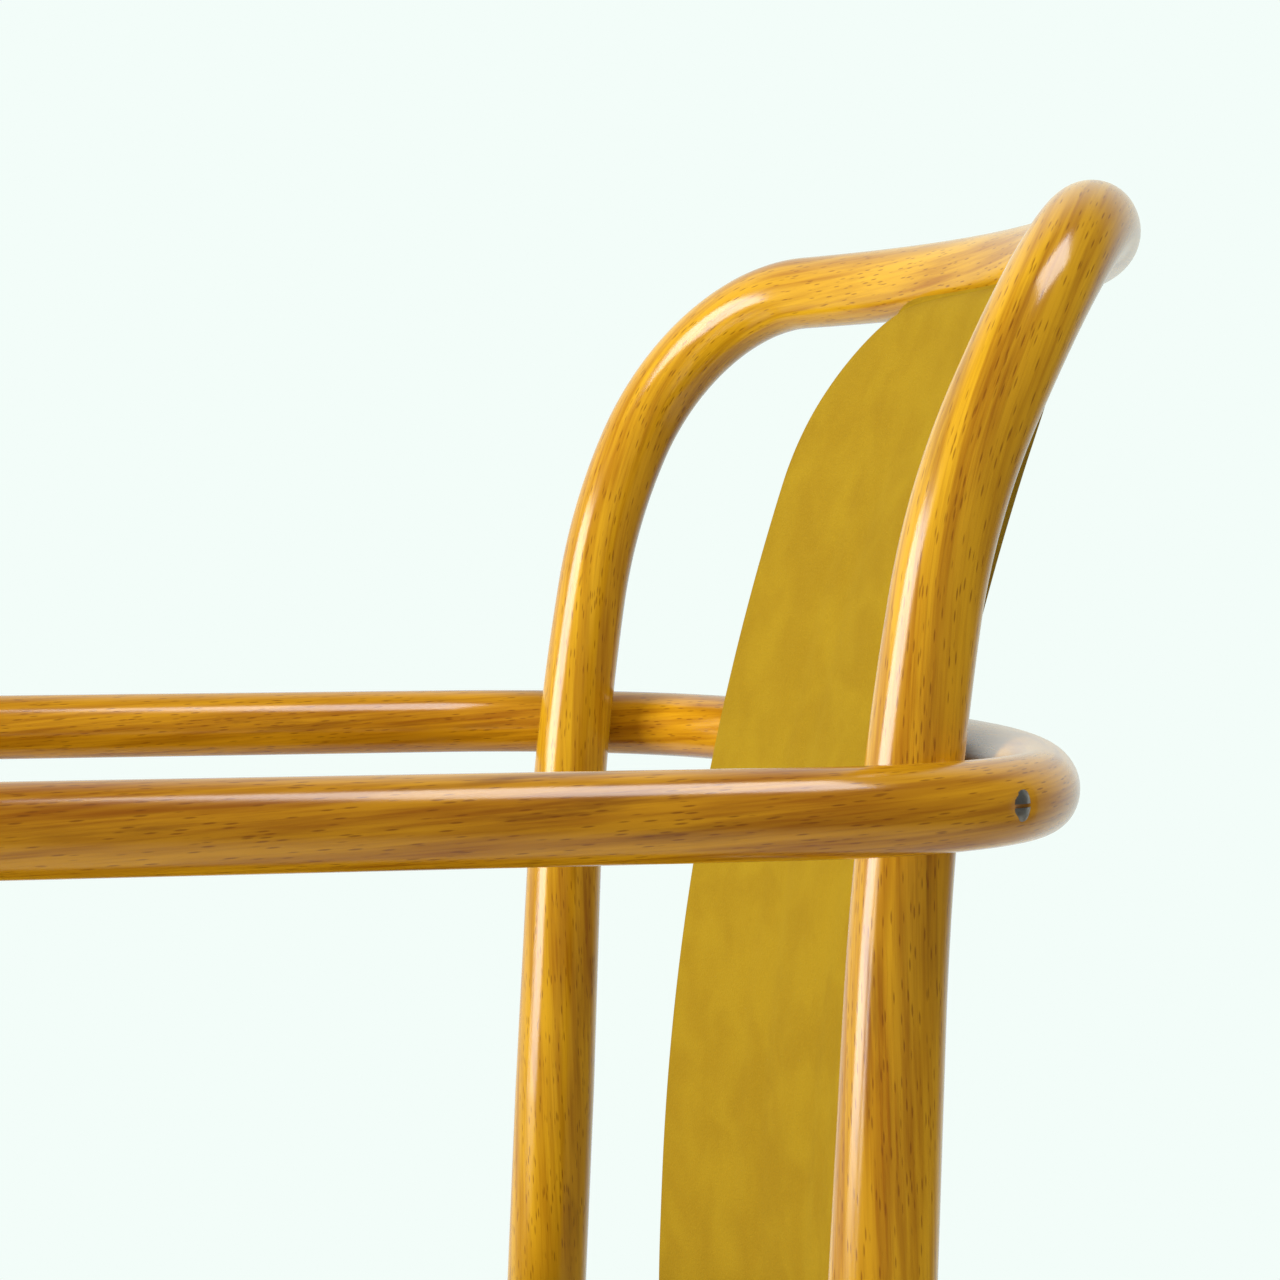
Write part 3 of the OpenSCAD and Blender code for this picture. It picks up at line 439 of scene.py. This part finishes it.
def lacquered_beech(name, light, deep, wear_share):
    """Beech under lacquer: bands of light and deep amber, dark flecks, and a share of wear."""
    material, shader, place = finish_of(name)
    made = place.node("ShaderNodeAttribute", {"attribute_name": GRAIN})
    grain = Socket(place.tree, made.outputs["Vector"])
    lines = grain.pattern(*LINES)
    flecks = 1.0 - grain.scaled(*FLECK_DRAWN).specks(FLECK_SCALE).step(*FLECK_AT)
    tone = grain.pattern(*CLOUDS) * CLOUD_SHARE + grain.pattern(*BANDS) * BAND_SHARE
    colour = (tone + lines * LINE_SHARE).mix(light, deep)
    marked = (flecks * FLECK_SHARE).mix(colour, AMBER_FLECK)
    feed(shader, "Base Color", (grain.pattern(*WORN) * wear_share).mix(marked, AMBER_WORN))
    feed(shader, "Roughness", BEECH_ROUGH + grain.pattern(*SMEARS) * SMEAR_ROUGH)
    bump(shader, lines - flecks, GRAIN_DEPTH)
    feed(shader, "Specular IOR Level", 0.0)
    feed(shader, "Coat Weight", 1.0)
    feed(shader, "Coat Roughness", COAT_ROUGH)
    feed(shader, "Coat IOR", COAT_IOR)
    return material


amber_beech = lacquered_beech("amber_beech", AMBER_LIGHT, AMBER_DEEP, ROD_WEAR_SHARE)
back_hoop.data.materials.append(amber_beech)
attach(back_hoop, "root")
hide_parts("back_hoop")


# Arm hoop: a second, thinner beech rod that goes round behind the uprights, runs forward as the
# two arms and turns down in front as their posts. Each post is cut flat and lies on the ring.
ARM_D = 0.0280
ARM_Z = 0.6673
ARM_BACK_Y = 0.232401
ARM_BACK_R = 0.5000
ARM_CORNER_R = 0.1120
ARM_TURN = np.radians(23.999)
ARM_BEND_Y = -0.1510
ARM_FRONT_R = 0.0950
POST_WAY = unit(np.array([-0.0979056, 0.224951, -0.969439]))
POST_FOOT_Z = 0.3540
FLAT_TURN = np.radians(2.51981)
FLAT_AT = np.array([0.230883, -0.202025])
FLAT_TOP_Z = 0.4300
SCREW_AT = np.array([0.256369, 0.163864, ARM_Z])
SCREW_FROM = np.array([0.157807, 0.086859, ARM_Z])
SCREW_WAY = unit(SCREW_AT - SCREW_FROM)
SCREW_SEAT_R = 0.0053
HANDLED_LIGHT = rgb(212, 156, 24)
HANDLED_DEEP = rgb(148, 86, 4)
HANDLED_WEAR_SHARE = 0.85
start = np.array([0.0, ARM_BACK_Y, ARM_Z])
arm = ([start[None]], [SIDE[None]])
arm_way = np.array([np.cos(ARM_TURN), -np.sin(ARM_TURN), 0.0])
at, way = stations(arm, start, SIDE, (arm_way, ARM_BACK_R), (FRONT, ARM_CORNER_R))
at, way = stations(arm, at, way, at[1] - ARM_BEND_Y, (POST_WAY, ARM_FRONT_R))
stations(arm, at, way, (at[2] - POST_FOOT_Z) / -POST_WAY[2])
points, headings = np.concatenate(arm[0]), np.concatenate(arm[1])
arm_hoop = rod("bent_arm_hoop", *both_halves(points, headings, np.full(len(points), ARM_D / 2)))
# The posts' flats, and the seats that the two screw heads have pressed into the rod
places = np.empty(3 * len(arm_hoop.data.vertices))
arm_hoop.data.vertices.foreach_get("co", places)
places = places.reshape(-1, 3)
hand = np.sign(places[:, 0])
flat_way = np.array([np.cos(FLAT_TURN), np.sin(FLAT_TURN)])
short = (FLAT_AT - np.column_stack([np.abs(places[:, 0]), places[:, 1]])) @ flat_way
short = np.where(places[:, 2] < FLAT_TOP_Z, np.clip(short, 0, None), 0)
places[:, 0] += hand * short * flat_way[0]
places[:, 1] += short * flat_way[1]
to_left = np.column_stack([hand, np.ones((len(hand), 2))])
off = places * to_left - SCREW_AT
rise = off @ SCREW_WAY
apart = np.linalg.norm(off - rise[:, None] * SCREW_WAY, axis=1)
sunk = np.where(apart < SCREW_SEAT_R, np.clip(rise, 0, None), 0)
places -= sunk[:, None] * SCREW_WAY * to_left
arm_hoop.data.vertices.foreach_set("co", places.ravel())
arm_hoop.data.materials.append(
    lacquered_beech("handled_beech", HANDLED_LIGHT, HANDLED_DEEP, HANDLED_WEAR_SHARE)
)
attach(arm_hoop, "root")
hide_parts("arm_hoop")


# Seat ring: beech laminated and bent into one closed ring, with rounded edges and the same
# lacquer. The rear legs are bolted to its rear corners and the front legs are dowelled into it.
BELT_GAP = 0.004
CORNER_STEPS = 6
RING_H = 0.0340
RING_W = 0.0360
RING_LOW_Z = POST_FOOT_Z
RING_ROUND = 0.0050
PANEL_AXIS_Y = -0.221953
REAR_CORNER = (0.162079, 0.087693)
RING_FRONT_Y = -0.2060
RING_BOW_Y = 0.6240
RING_FRONT_X = 0.1710
RING_REAR_R = 0.3960
RING_CORNER_R = 0.0560
RING_FRONT_R = 0.0600
RING_BOW_R = 0.9000
RING_BELT = [
    (0.0, PANEL_AXIS_Y, RING_REAR_R),
    (-REAR_CORNER[0], REAR_CORNER[1], RING_CORNER_R),
    (-RING_FRONT_X, RING_FRONT_Y, RING_FRONT_R),
    (0.0, RING_BOW_Y, RING_BOW_R),
    (RING_FRONT_X, RING_FRONT_Y, RING_FRONT_R),
    (REAR_CORNER[0], REAR_CORNER[1], RING_CORNER_R),
]


def belt(circles):
    """A belt drawn tightly round circles (x, y, r): centres, radii and turns of its points.

    The normal of the straight from circle a to circle b is the way from a to b, turned back by
    the arc cosine of (ra - rb) / distance. Along a circle the normal turns, and along a straight
    the centre and the radius go over from one circle to the next. A point is then
    centre + (radius - inset) (cos turn, sin turn).
    """
    c = np.array(circles)
    after = np.roll(c, -1, axis=0)
    d = after[:, :2] - c[:, :2]
    leave = np.arctan2(d[:, 1], d[:, 0]) - np.arccos((c[:, 2] - after[:, 2]) / np.hypot(*d.T))
    reach = np.roll(leave, 1)
    sweep = (leave - reach) % (2 * np.pi)
    rows = []
    for k in range(len(c)):
        steps = max(2, int(np.ceil(sweep[k] * c[k, 2] / BELT_GAP)))
        turns = reach[k] + sweep[k] * np.linspace(0, 1, steps + 1)
        rows.append(np.column_stack([np.repeat(c[k][None], steps + 1, axis=0), turns]))
        steps = max(1, int(np.ceil(np.hypot(*d[k]) / BELT_GAP)))
        t = np.linspace(0, 1, steps + 1)[1:-1, None]
        straight = (1 - t) * c[k] + t * after[k]
        rows.append(np.column_stack([straight, np.full(len(straight), leave[k])]))
    rows = np.concatenate(rows)
    return rows[:, :2], rows[:, 2], rows[:, 3]


def belt_rings(circles, insets, heights, shares=1.0, middle=(0.0, 0.0)):
    """Loops of a belt, one for each inset and height, each drawn in to a share about a middle."""
    centres, radii, turns = belt(circles)
    normals = np.column_stack([np.cos(turns), np.sin(turns)])
    insets = np.asarray(insets)[:, None, None]
    flat = centres[None] + (radii[None, :, None] - insets) * normals[None]
    shares = np.broadcast_to(shares, len(insets))[:, None, None]
    flat = middle + shares * (flat - middle)
    rise = np.broadcast_to(np.asarray(heights)[:, None, None], flat.shape[:2] + (1,))
    return np.concatenate([flat, rise], axis=-1)


def belt_rod(name, circles, section, z):
    """A closed rail: a section of points (inset from the outer edge, height) along a belt."""
    rings = belt_rings(circles, section[:, 0], z + section[:, 1])
    mesh = grid_mesh(name, rings.transpose(1, 0, 2), closed_along=True)
    middle = rings.mean(axis=0)
    along = np.cumsum(np.linalg.norm(np.diff(middle, axis=0, prepend=middle[-1:]), axis=1))
    n, m = len(along), len(section)
    flat = np.concatenate(
        [np.broadcast_to(section, (n, m, 2)), np.broadcast_to(along[:, None, None], (n, m, 1))],
        axis=-1,
    )
    store(mesh, GRAIN, flat.reshape(-1, 3))
    return link(bpy.data.objects.new(name, mesh))


corner_turns = np.radians([0, 90, 180, 270])[:, None] + np.linspace(0, np.pi / 2, CORNER_STEPS)
far_in, top_up = RING_W - RING_ROUND, RING_H - RING_ROUND
corner_in = np.array([RING_ROUND, far_in, far_in, RING_ROUND])[:, None]
corner_up = np.array([top_up, top_up, RING_ROUND, RING_ROUND])[:, None]
ring_section = np.stack(
    [corner_in - RING_ROUND * np.cos(corner_turns), corner_up + RING_ROUND * np.sin(corner_turns)],
    axis=-1,
).reshape(-1, 2)
seat_ring = belt_rod("laminated_seat_ring", RING_BELT, ring_section, RING_LOW_Z)
seat_ring.data.materials.append(amber_beech)
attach(seat_ring, "root")
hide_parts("seat_ring")


# Front legs: turned beech, tapered from the ring to the floor and set with a slight splay. Each
# has a tenon in the ring.
LEG_HEAD = np.array([0.199385, -0.236956, RING_LOW_Z])
LEG_FOOT = np.array([0.211782, -0.250475, GLIDE_H])
LEG_TOP_D = 0.0380
LEG_FOOT_D = 0.0260
leg_way = unit(LEG_FOOT - LEG_HEAD)
leg_run = np.linalg.norm(LEG_FOOT - LEG_HEAD)
for name, node, mirror in [
    ("turned_front_leg_left", "front_leg_left", 1.0),
    ("turned_front_leg_right", "front_leg_right", -1.0),
]:
    flip = np.array([mirror, 1.0, 1.0])
    leg = ([LEG_HEAD[None] * flip], [leg_way[None] * flip])
    stations(leg, LEG_HEAD * flip, leg_way * flip, leg_run)
    points, headings = np.concatenate(leg[0]), np.concatenate(leg[1])
    radii = np.interp(points[:, 2], [GLIDE_H, RING_LOW_Z], [LEG_FOOT_D / 2, LEG_TOP_D / 2])
    front_leg = rod(name, points, headings, radii)
    front_leg.data.materials.append(amber_beech)
    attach(front_leg, "root")
    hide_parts(node)


# Leg ring: a thin beech rod bent into a closed ring that braces the legs low down. It lies inside
# them, and one screw through it holds it to each leg.
LEG_RING_D = 0.0200
LEG_RING_Z = 0.1900
LEG_RING_REAR = (0.133479, 0.076905)
LEG_RING_FRONT = (0.127986, -0.166083)
LEG_RING_CORNER_R = 0.0950
LEG_RING_BELT = [
    (-LEG_RING_REAR[0], LEG_RING_REAR[1], LEG_RING_CORNER_R),
    (-LEG_RING_FRONT[0], LEG_RING_FRONT[1], LEG_RING_CORNER_R),
    (LEG_RING_FRONT[0], LEG_RING_FRONT[1], LEG_RING_CORNER_R),
    (LEG_RING_REAR[0], LEG_RING_REAR[1], LEG_RING_CORNER_R),
]
LEG_RING_SIDES = 32
turns = np.linspace(0, 2 * np.pi, LEG_RING_SIDES, endpoint=False)
round_section = LEG_RING_D / 2 * np.column_stack([1 - np.cos(turns), np.sin(turns)])
leg_ring = belt_rod("bent_leg_ring", LEG_RING_BELT, round_section, LEG_RING_Z)
leg_ring.data.materials.append(amber_beech)
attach(leg_ring, "root")
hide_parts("leg_ring")


# Seat board: a birch plywood panel that lies on the ring over the hem of the seat's cover, with
# screws up through the ring. The back panel's board is of the same plywood, and its tongue shows
# behind the ring. That board's dowels are plain beech.
BIRCH_FACE = rgb(206, 172, 120)
BIRCH_BAND = rgb(176, 136, 84)
BEECH_FACE = rgb(222, 184, 138)
BEECH_BAND = rgb(198, 154, 104)
PLY_LINE_SHARE = 0.55
PLY_CLOUD_SHARE = 0.45
PLY_ROUGH = 0.55
PLY_LINE_ROUGH = 0.15
PLY_DEPTH = 0.0001
# Each pattern: how it is drawn out on each axis, its scale, its low and high, and its detail
PLY_LINES = ((0.06, 1, 1), 420, 0.35, 0.65, 3)
PLY_CLOUDS = ((0.25, 1, 1), 24, 0.35, 0.7, 2)


def bare_wood(name, face, band):
    """Plywood or plain wood: fine grain lines along X, in two close tones."""
    material, shader, place = finish_of(name)
    lines = place.pattern(*PLY_LINES)
    tone = lines * PLY_LINE_SHARE + place.pattern(*PLY_CLOUDS) * PLY_CLOUD_SHARE
    feed(shader, "Base Color", tone.mix(face, band))
    feed(shader, "Roughness", PLY_ROUGH + lines * PLY_LINE_ROUGH)
    bump(shader, lines, PLY_DEPTH)
    return material


def finish(nodes, material):
    """Give pieces that show as they were constructed a material in place of their own."""
    for node in nodes:
        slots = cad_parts[node].data.materials
        slots.clear()
        slots.append(material)


birch_plywood = bare_wood("birch_plywood", BIRCH_FACE, BIRCH_BAND)
plain_beech = bare_wood("plain_beech", BEECH_FACE, BEECH_BAND)
finish(["seat_board", "back_board"], birch_plywood)
finish(["back_dowels"], plain_beech)


# Seat cushion: foam on the board under a velour cover, which is drawn over the edge and folded
# under the board as a hem.
SEAT_REAR_R = 0.3848
SEAT_CORNER_R = 0.0534
SEAT_FRONT_X = 0.1610
SEAT_FRONT_R = 0.0630
SEAT_BOW_R = 0.9030
SEAT_BELT = [
    (0.0, PANEL_AXIS_Y, SEAT_REAR_R),
    (-REAR_CORNER[0], REAR_CORNER[1], SEAT_CORNER_R),
    (-SEAT_FRONT_X, RING_FRONT_Y, SEAT_FRONT_R),
    (0.0, RING_BOW_Y, SEAT_BOW_R),
    (SEAT_FRONT_X, RING_FRONT_Y, SEAT_FRONT_R),
    (REAR_CORNER[0], REAR_CORNER[1], SEAT_CORNER_R),
]
SEAT_MID = np.array([0.0, -0.058076])
SEAT_UNDER_Z = 0.3883
SEAT_HEM_Z = 0.3895
SEAT_BOARD_TOP_Z = 0.4001
SEAT_EDGE_TOP_Z = 0.4241
SEAT_CROWN = 0.0200
SEAT_EDGE_R = 0.0160
SEAT_DRAW = 0.0025
SEAT_HEM = 0.0140
SEAT_HEM_ROUND = 0.0020
SEAT_BOARD_IN = 0.0040
SEAT_WAIST_SHARE = 1 / 3
SEAT_EDGE_TURN = np.radians(80)
SEAT_EDGE_STEPS = 9
CROWN_START_SHARE = 0.985
CROWN_STEPS = 44
# The pattern: its draw on each axis, scale, low, high, detail, roughness and distortion
VELOUR_CLOUDS = ((1, 1, 1), 38, 0.3, 0.7, 4, 0.5, 0.4)
PILE_SCALE = 900
PILE_DETAIL = 3
PILE_BREAK = 0.7
BRUSHED_SHARE = 0.55
PILE_SHARE = 0.45
PILE_DEPTH = 0.0006
VELOUR_ROUGH = 0.95
VELOUR_GLOSS = 0.1
SHEEN = 0.12
SHEEN_ROUGH = 0.45
SHEEN_TINT = rgb(236, 206, 110)
VELOUR_LIT = rgb(167, 138, 27)
VELOUR_DARK = rgb(152, 121, 20)
turns = np.linspace(0, SEAT_EDGE_TURN, SEAT_EDGE_STEPS)
edge_in = SEAT_EDGE_R * (1 - np.cos(turns))
edge_up = SEAT_EDGE_TOP_Z - SEAT_EDGE_R + SEAT_EDGE_R * np.sin(turns)
waist = SEAT_DRAW * SEAT_WAIST_SHARE
hem_in = SEAT_DRAW + SEAT_HEM
# From the middle of the board's top out to its edge, down and round the hem, and up to the edge:
# each row is a share of the outline, an inset from it, and a height
under = np.array([
    [0.0, SEAT_BOARD_IN, SEAT_BOARD_TOP_Z],
    [1.0, SEAT_BOARD_IN, SEAT_BOARD_TOP_Z],
    [1.0, SEAT_BOARD_IN, SEAT_HEM_Z],
    [1.0, hem_in, SEAT_HEM_Z],
    [1.0, hem_in, SEAT_UNDER_Z],
    [1.0, SEAT_DRAW + SEAT_HEM_ROUND, SEAT_UNDER_Z],
    [1.0, SEAT_DRAW, SEAT_UNDER_Z + SEAT_HEM_ROUND],
    [1.0, waist, SEAT_BOARD_TOP_Z],
])
crown_shares = np.linspace(CROWN_START_SHARE, 0, CROWN_STEPS)
crown_up = edge_up[-1] + SEAT_CROWN * (1 - crown_shares**2)
shares = np.concatenate([under[:, 0], np.ones(SEAT_EDGE_STEPS), crown_shares])
insets = np.concatenate([under[:, 1], edge_in, np.full(CROWN_STEPS, edge_in[-1])])
heights = np.concatenate([under[:, 2], edge_up, crown_up])
seat_mesh = grid_mesh("seat_cushion", belt_rings(SEAT_BELT, insets, heights, shares, SEAT_MID))
seat_cushion = link(bpy.data.objects.new("seat_cushion", seat_mesh))


def velour(name, lit, dark):
    """Short-pile velour: brushed clouds of light and shade over a fine pile."""
    material, shader, place = finish_of(name)
    pile = place.noise(PILE_SCALE, PILE_DETAIL, PILE_BREAK)
    tone = place.pattern(*VELOUR_CLOUDS) * BRUSHED_SHARE + pile * PILE_SHARE
    feed(shader, "Base Color", tone.mix(lit, dark))
    feed(shader, "Roughness", VELOUR_ROUGH)
    feed(shader, "Specular IOR Level", VELOUR_GLOSS)
    feed(shader, "Sheen Weight", SHEEN)
    feed(shader, "Sheen Roughness", SHEEN_ROUGH)
    feed(shader, "Sheen Tint", SHEEN_TINT)
    bump(shader, pile, PILE_DEPTH)
    return material


mustard_velour = velour("mustard_velour", VELOUR_LIT, VELOUR_DARK)
seat_cushion.data.materials.append(mustard_velour)
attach(seat_cushion, "root")
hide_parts("seat_cover", "seat_foam")


# Back panel: a moulded plywood board with foam in front, thin wadding behind, and one tight
# sleeve of the same velour, sewn round its edge. It stands on the ring and meets the rail.
PANEL_W = 0.2600
PANEL_R = 0.4000
PANEL_SIDE_R = 1.11705
PANEL_Z = 0.4400
PANEL_CORNER_R = 0.0750
PANEL_FOOT_Z = 0.3920
PANEL_PEAK_Z = 0.8473
PANEL_CORNER_Z = PANEL_PEAK_Z - PANEL_CORNER_R
PANEL_FRONT = 0.0132
PANEL_REAR = 0.0075
PANEL_CLOSE = 0.0140
PANEL_POWER = 3.3
PANEL_SIDES = 192
PANEL_STEPS = 110
PANEL_CORNER_STEPS = 40
PEAK_POWER = 3
FOOT_CLOSE_SHARE = 0.5
HUG_FRONT = 0.0040
HUG_REAR = 0.0003
turns = np.linspace(0, np.pi / 2, PANEL_CORNER_STEPS)[1:]
straight_up = np.linspace(PANEL_FOOT_Z, PANEL_CORNER_Z, PANEL_STEPS)
up = np.concatenate([straight_up, PANEL_CORNER_Z + PANEL_CORNER_R * np.sin(turns)])
corner_half = PANEL_W / 2 - PANEL_CORNER_R + PANEL_CORNER_R * np.cos(turns)
half = np.concatenate([np.full(PANEL_STEPS, PANEL_W / 2), corner_half])
a = np.linspace(0, 2 * np.pi, PANEL_SIDES, endpoint=False)


def soft_power(v):
    """The part of a superellipse: the sign of v times |v| to the power 2 / PANEL_POWER."""
    return np.sign(v) * np.abs(v) ** (2 / PANEL_POWER)


# A section at each height, thinned where it closes at the peak and the foot, laid on the curve of
# the back, and held off the rail where it meets it
foot_close = PANEL_CLOSE / 2
to_peak = np.clip((up - PANEL_PEAK_Z + PANEL_CLOSE) / PANEL_CLOSE, 0, 1)
to_foot = np.clip((PANEL_FOOT_Z + foot_close - up) / foot_close, 0, 1)
closing = (1 - to_peak**PEAK_POWER) ** (1 / PEAK_POWER) * (1 - FOOT_CLOSE_SHARE * to_foot**2)
x = half[:, None] * soft_power(np.cos(a))
z = np.broadcast_to(up[:, None], x.shape)
belly = np.abs(soft_power(np.sin(a))) * closing[:, None]
off = np.where(np.sin(a) < 0, -PANEL_FRONT, PANEL_REAR) * belly
fall = np.where(z < PANEL_Z, 0.0, PANEL_SIDE_R - np.sqrt(PANEL_SIDE_R**2 - (z - PANEL_Z) ** 2))
y = PANEL_AXIS_Y + np.sqrt((PANEL_R + fall + off) ** 2 - x**2)
need = RAIL_D / 2 + np.where(np.sin(a) < 0, HUG_FRONT, HUG_REAR)
rail_line = RAIL_Y - RAIL_BOW_R + np.sqrt(RAIL_BOW_R**2 - x**2)
slant = np.sqrt(1 - (x / RAIL_BOW_R) ** 2)
stop = rail_line - np.sqrt(np.clip(need**2 - (z - RAIL_Z) ** 2, 0, None)) / slant
y = np.where(np.abs(z - RAIL_Z) < need, np.minimum(y, stop), y)
panel_mesh = grid_mesh("back_panel_pad", np.stack([x, y, z], axis=-1), caps=True)
back_panel = link(bpy.data.objects.new("back_panel_pad", panel_mesh))

BACK_SWELL = 0.0040
BACK_FREE_Z = (0.4300, 0.4800)
BACK_HELD_Z = (0.7700, 0.8100)
EDGE_FREE_POWER = 0.5
SWELL_FRAMES = 20
SWELL_PRESSURE = 4.0
START_SHARE = 0.25
HELD_SHARE = 0.5
LEAST_STEP = 1e-9


def smooth(t):
    """Rise from 0 to 1 as t does, level at both ends: 3 t squared - 2 t cubed."""
    t = np.clip(t, 0, 1)
    return t * t * (3 - 2 * t)


def puff(pad, most, free):
    """Swell a pad by a cloth simulation, under inner pressure and without gravity.

    Points whose free share is under HELD_SHARE are held. Every point starts inside the pad's
    shape, by START_SHARE of most times its free share, and goes on by its simulated step, cut to
    most, times that share.
    """
    size = 3 * len(pad.data.vertices)
    places, normals = np.empty(size), np.empty(size)
    pad.data.vertices.foreach_get("co", places)
    pad.data.vertices.foreach_get("normal", normals)
    began = places.reshape(-1, 3) - most * START_SHARE * free[:, None] * normals.reshape(-1, 3)
    pad.data.vertices.foreach_set("co", began.ravel())
    pad.data.update()
    held = pad.vertex_groups.new(name="held")
    held.add(np.flatnonzero(free < HELD_SHARE).tolist(), 1.0, "REPLACE")
    cloth = pad.modifiers.new("swell", "CLOTH")
    cloth.settings.use_pressure = True
    cloth.settings.uniform_pressure_force = SWELL_PRESSURE
    cloth.settings.vertex_group_mass = held.name
    cloth.settings.effector_weights.gravity = 0.0
    for number in range(1, SWELL_FRAMES + 1):
        bpy.context.scene.frame_set(number)
    swollen = pad.evaluated_get(bpy.context.evaluated_depsgraph_get())
    swollen.data.vertices.foreach_get("co", places)
    step = places.reshape(-1, 3) - began
    bpy.context.scene.frame_set(1)
    pad.modifiers.remove(cloth)
    pad.vertex_groups.remove(held)
    length = np.maximum(np.linalg.norm(step, axis=1), LEAST_STEP)
    share = free * np.minimum(1, most / length)
    pad.data.vertices.foreach_set("co", (began + share[:, None] * step).ravel())
    pad.data.update()


free = smooth((z - BACK_FREE_Z[0]) / (BACK_FREE_Z[1] - BACK_FREE_Z[0]))
free = free * (1 - smooth((z - BACK_HELD_Z[0]) / (BACK_HELD_Z[1] - BACK_HELD_Z[0])))
puff(back_panel, BACK_SWELL, (free * np.abs(np.sin(a)) ** EDGE_FREE_POWER).ravel())
back_panel.data.materials.append(mustard_velour)
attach(back_panel, "root")
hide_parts("back_cover", "back_foam", "back_wadding")


# Screws, bolts, washers and nuts: turned and pressed steel, gone dull in blotches and with fine
# scratches. The two in the arm hoop are raised and slotted.
STEEL_BRIGHT = rgb(168, 166, 162)
STEEL_DULLED = rgb(122, 116, 108)
STEEL_BLOTCHES = ((1, 1, 1), 420, 0.35, 0.7, 3)
SCRATCH_DRAWN = (1, 1, 0.05)
SCRATCH_SCALE = 2600
SCRATCH_DETAIL = 2
SCRATCH_DEPTH = 0.00003
BLOTCH_SHARE = 0.7
SCRATCH_SHARE = 0.3
STEEL_ROUGH = 0.34
BLOTCH_ROUGH = 0.2


def dull_steel(name, bright, dulled):
    """Steel that has dulled: fine scratches and blotches of two greys."""
    material, shader, place = finish_of(name)
    blotches = place.pattern(*STEEL_BLOTCHES)
    scratches = place.scaled(*SCRATCH_DRAWN).noise(SCRATCH_SCALE, SCRATCH_DETAIL)
    tone = blotches * BLOTCH_SHARE + scratches * SCRATCH_SHARE
    feed(shader, "Base Color", tone.mix(bright, dulled))
    feed(shader, "Roughness", STEEL_ROUGH + blotches * BLOTCH_ROUGH)
    feed(shader, "Metallic", 1.0)
    bump(shader, scratches, SCRATCH_DEPTH)
    return material


finish(
    ["arm_screws", "arm_post_screws", "rear_leg_bolts", "rear_leg_washers", "rear_leg_nuts",
     "leg_ring_screws", "seat_screws", "back_screws", "glide_nails"],
    dull_steel("dull_steel", STEEL_BRIGHT, STEEL_DULLED),
)


# Foot glides: hard dark plastic buttons, moulded, and nailed under each leg. The floor has
# scuffed them pale.
PLASTIC_DARK = rgb(58, 46, 38)
PLASTIC_PALE = rgb(112, 100, 90)
SCUFFS = ((1, 1, 1), 300, 0.5, 0.7, 4)
SCUFF_SHARE = 0.6
SCUFF_DEPTH = 0.0001
PLASTIC_ROUGH = 0.4
SCUFF_ROUGH = 0.25


def scuffed_plastic(name, dark, pale):
    """Dark plastic with pale scuffs."""
    material, shader, place = finish_of(name)
    scuffs = place.pattern(*SCUFFS)
    feed(shader, "Base Color", (scuffs * SCUFF_SHARE).mix(dark, pale))
    feed(shader, "Roughness", PLASTIC_ROUGH + scuffs * SCUFF_ROUGH)
    bump(shader, scuffs, SCUFF_DEPTH)
    return material


finish(["foot_glides"], scuffed_plastic("glide_plastic", PLASTIC_DARK, PLASTIC_PALE))
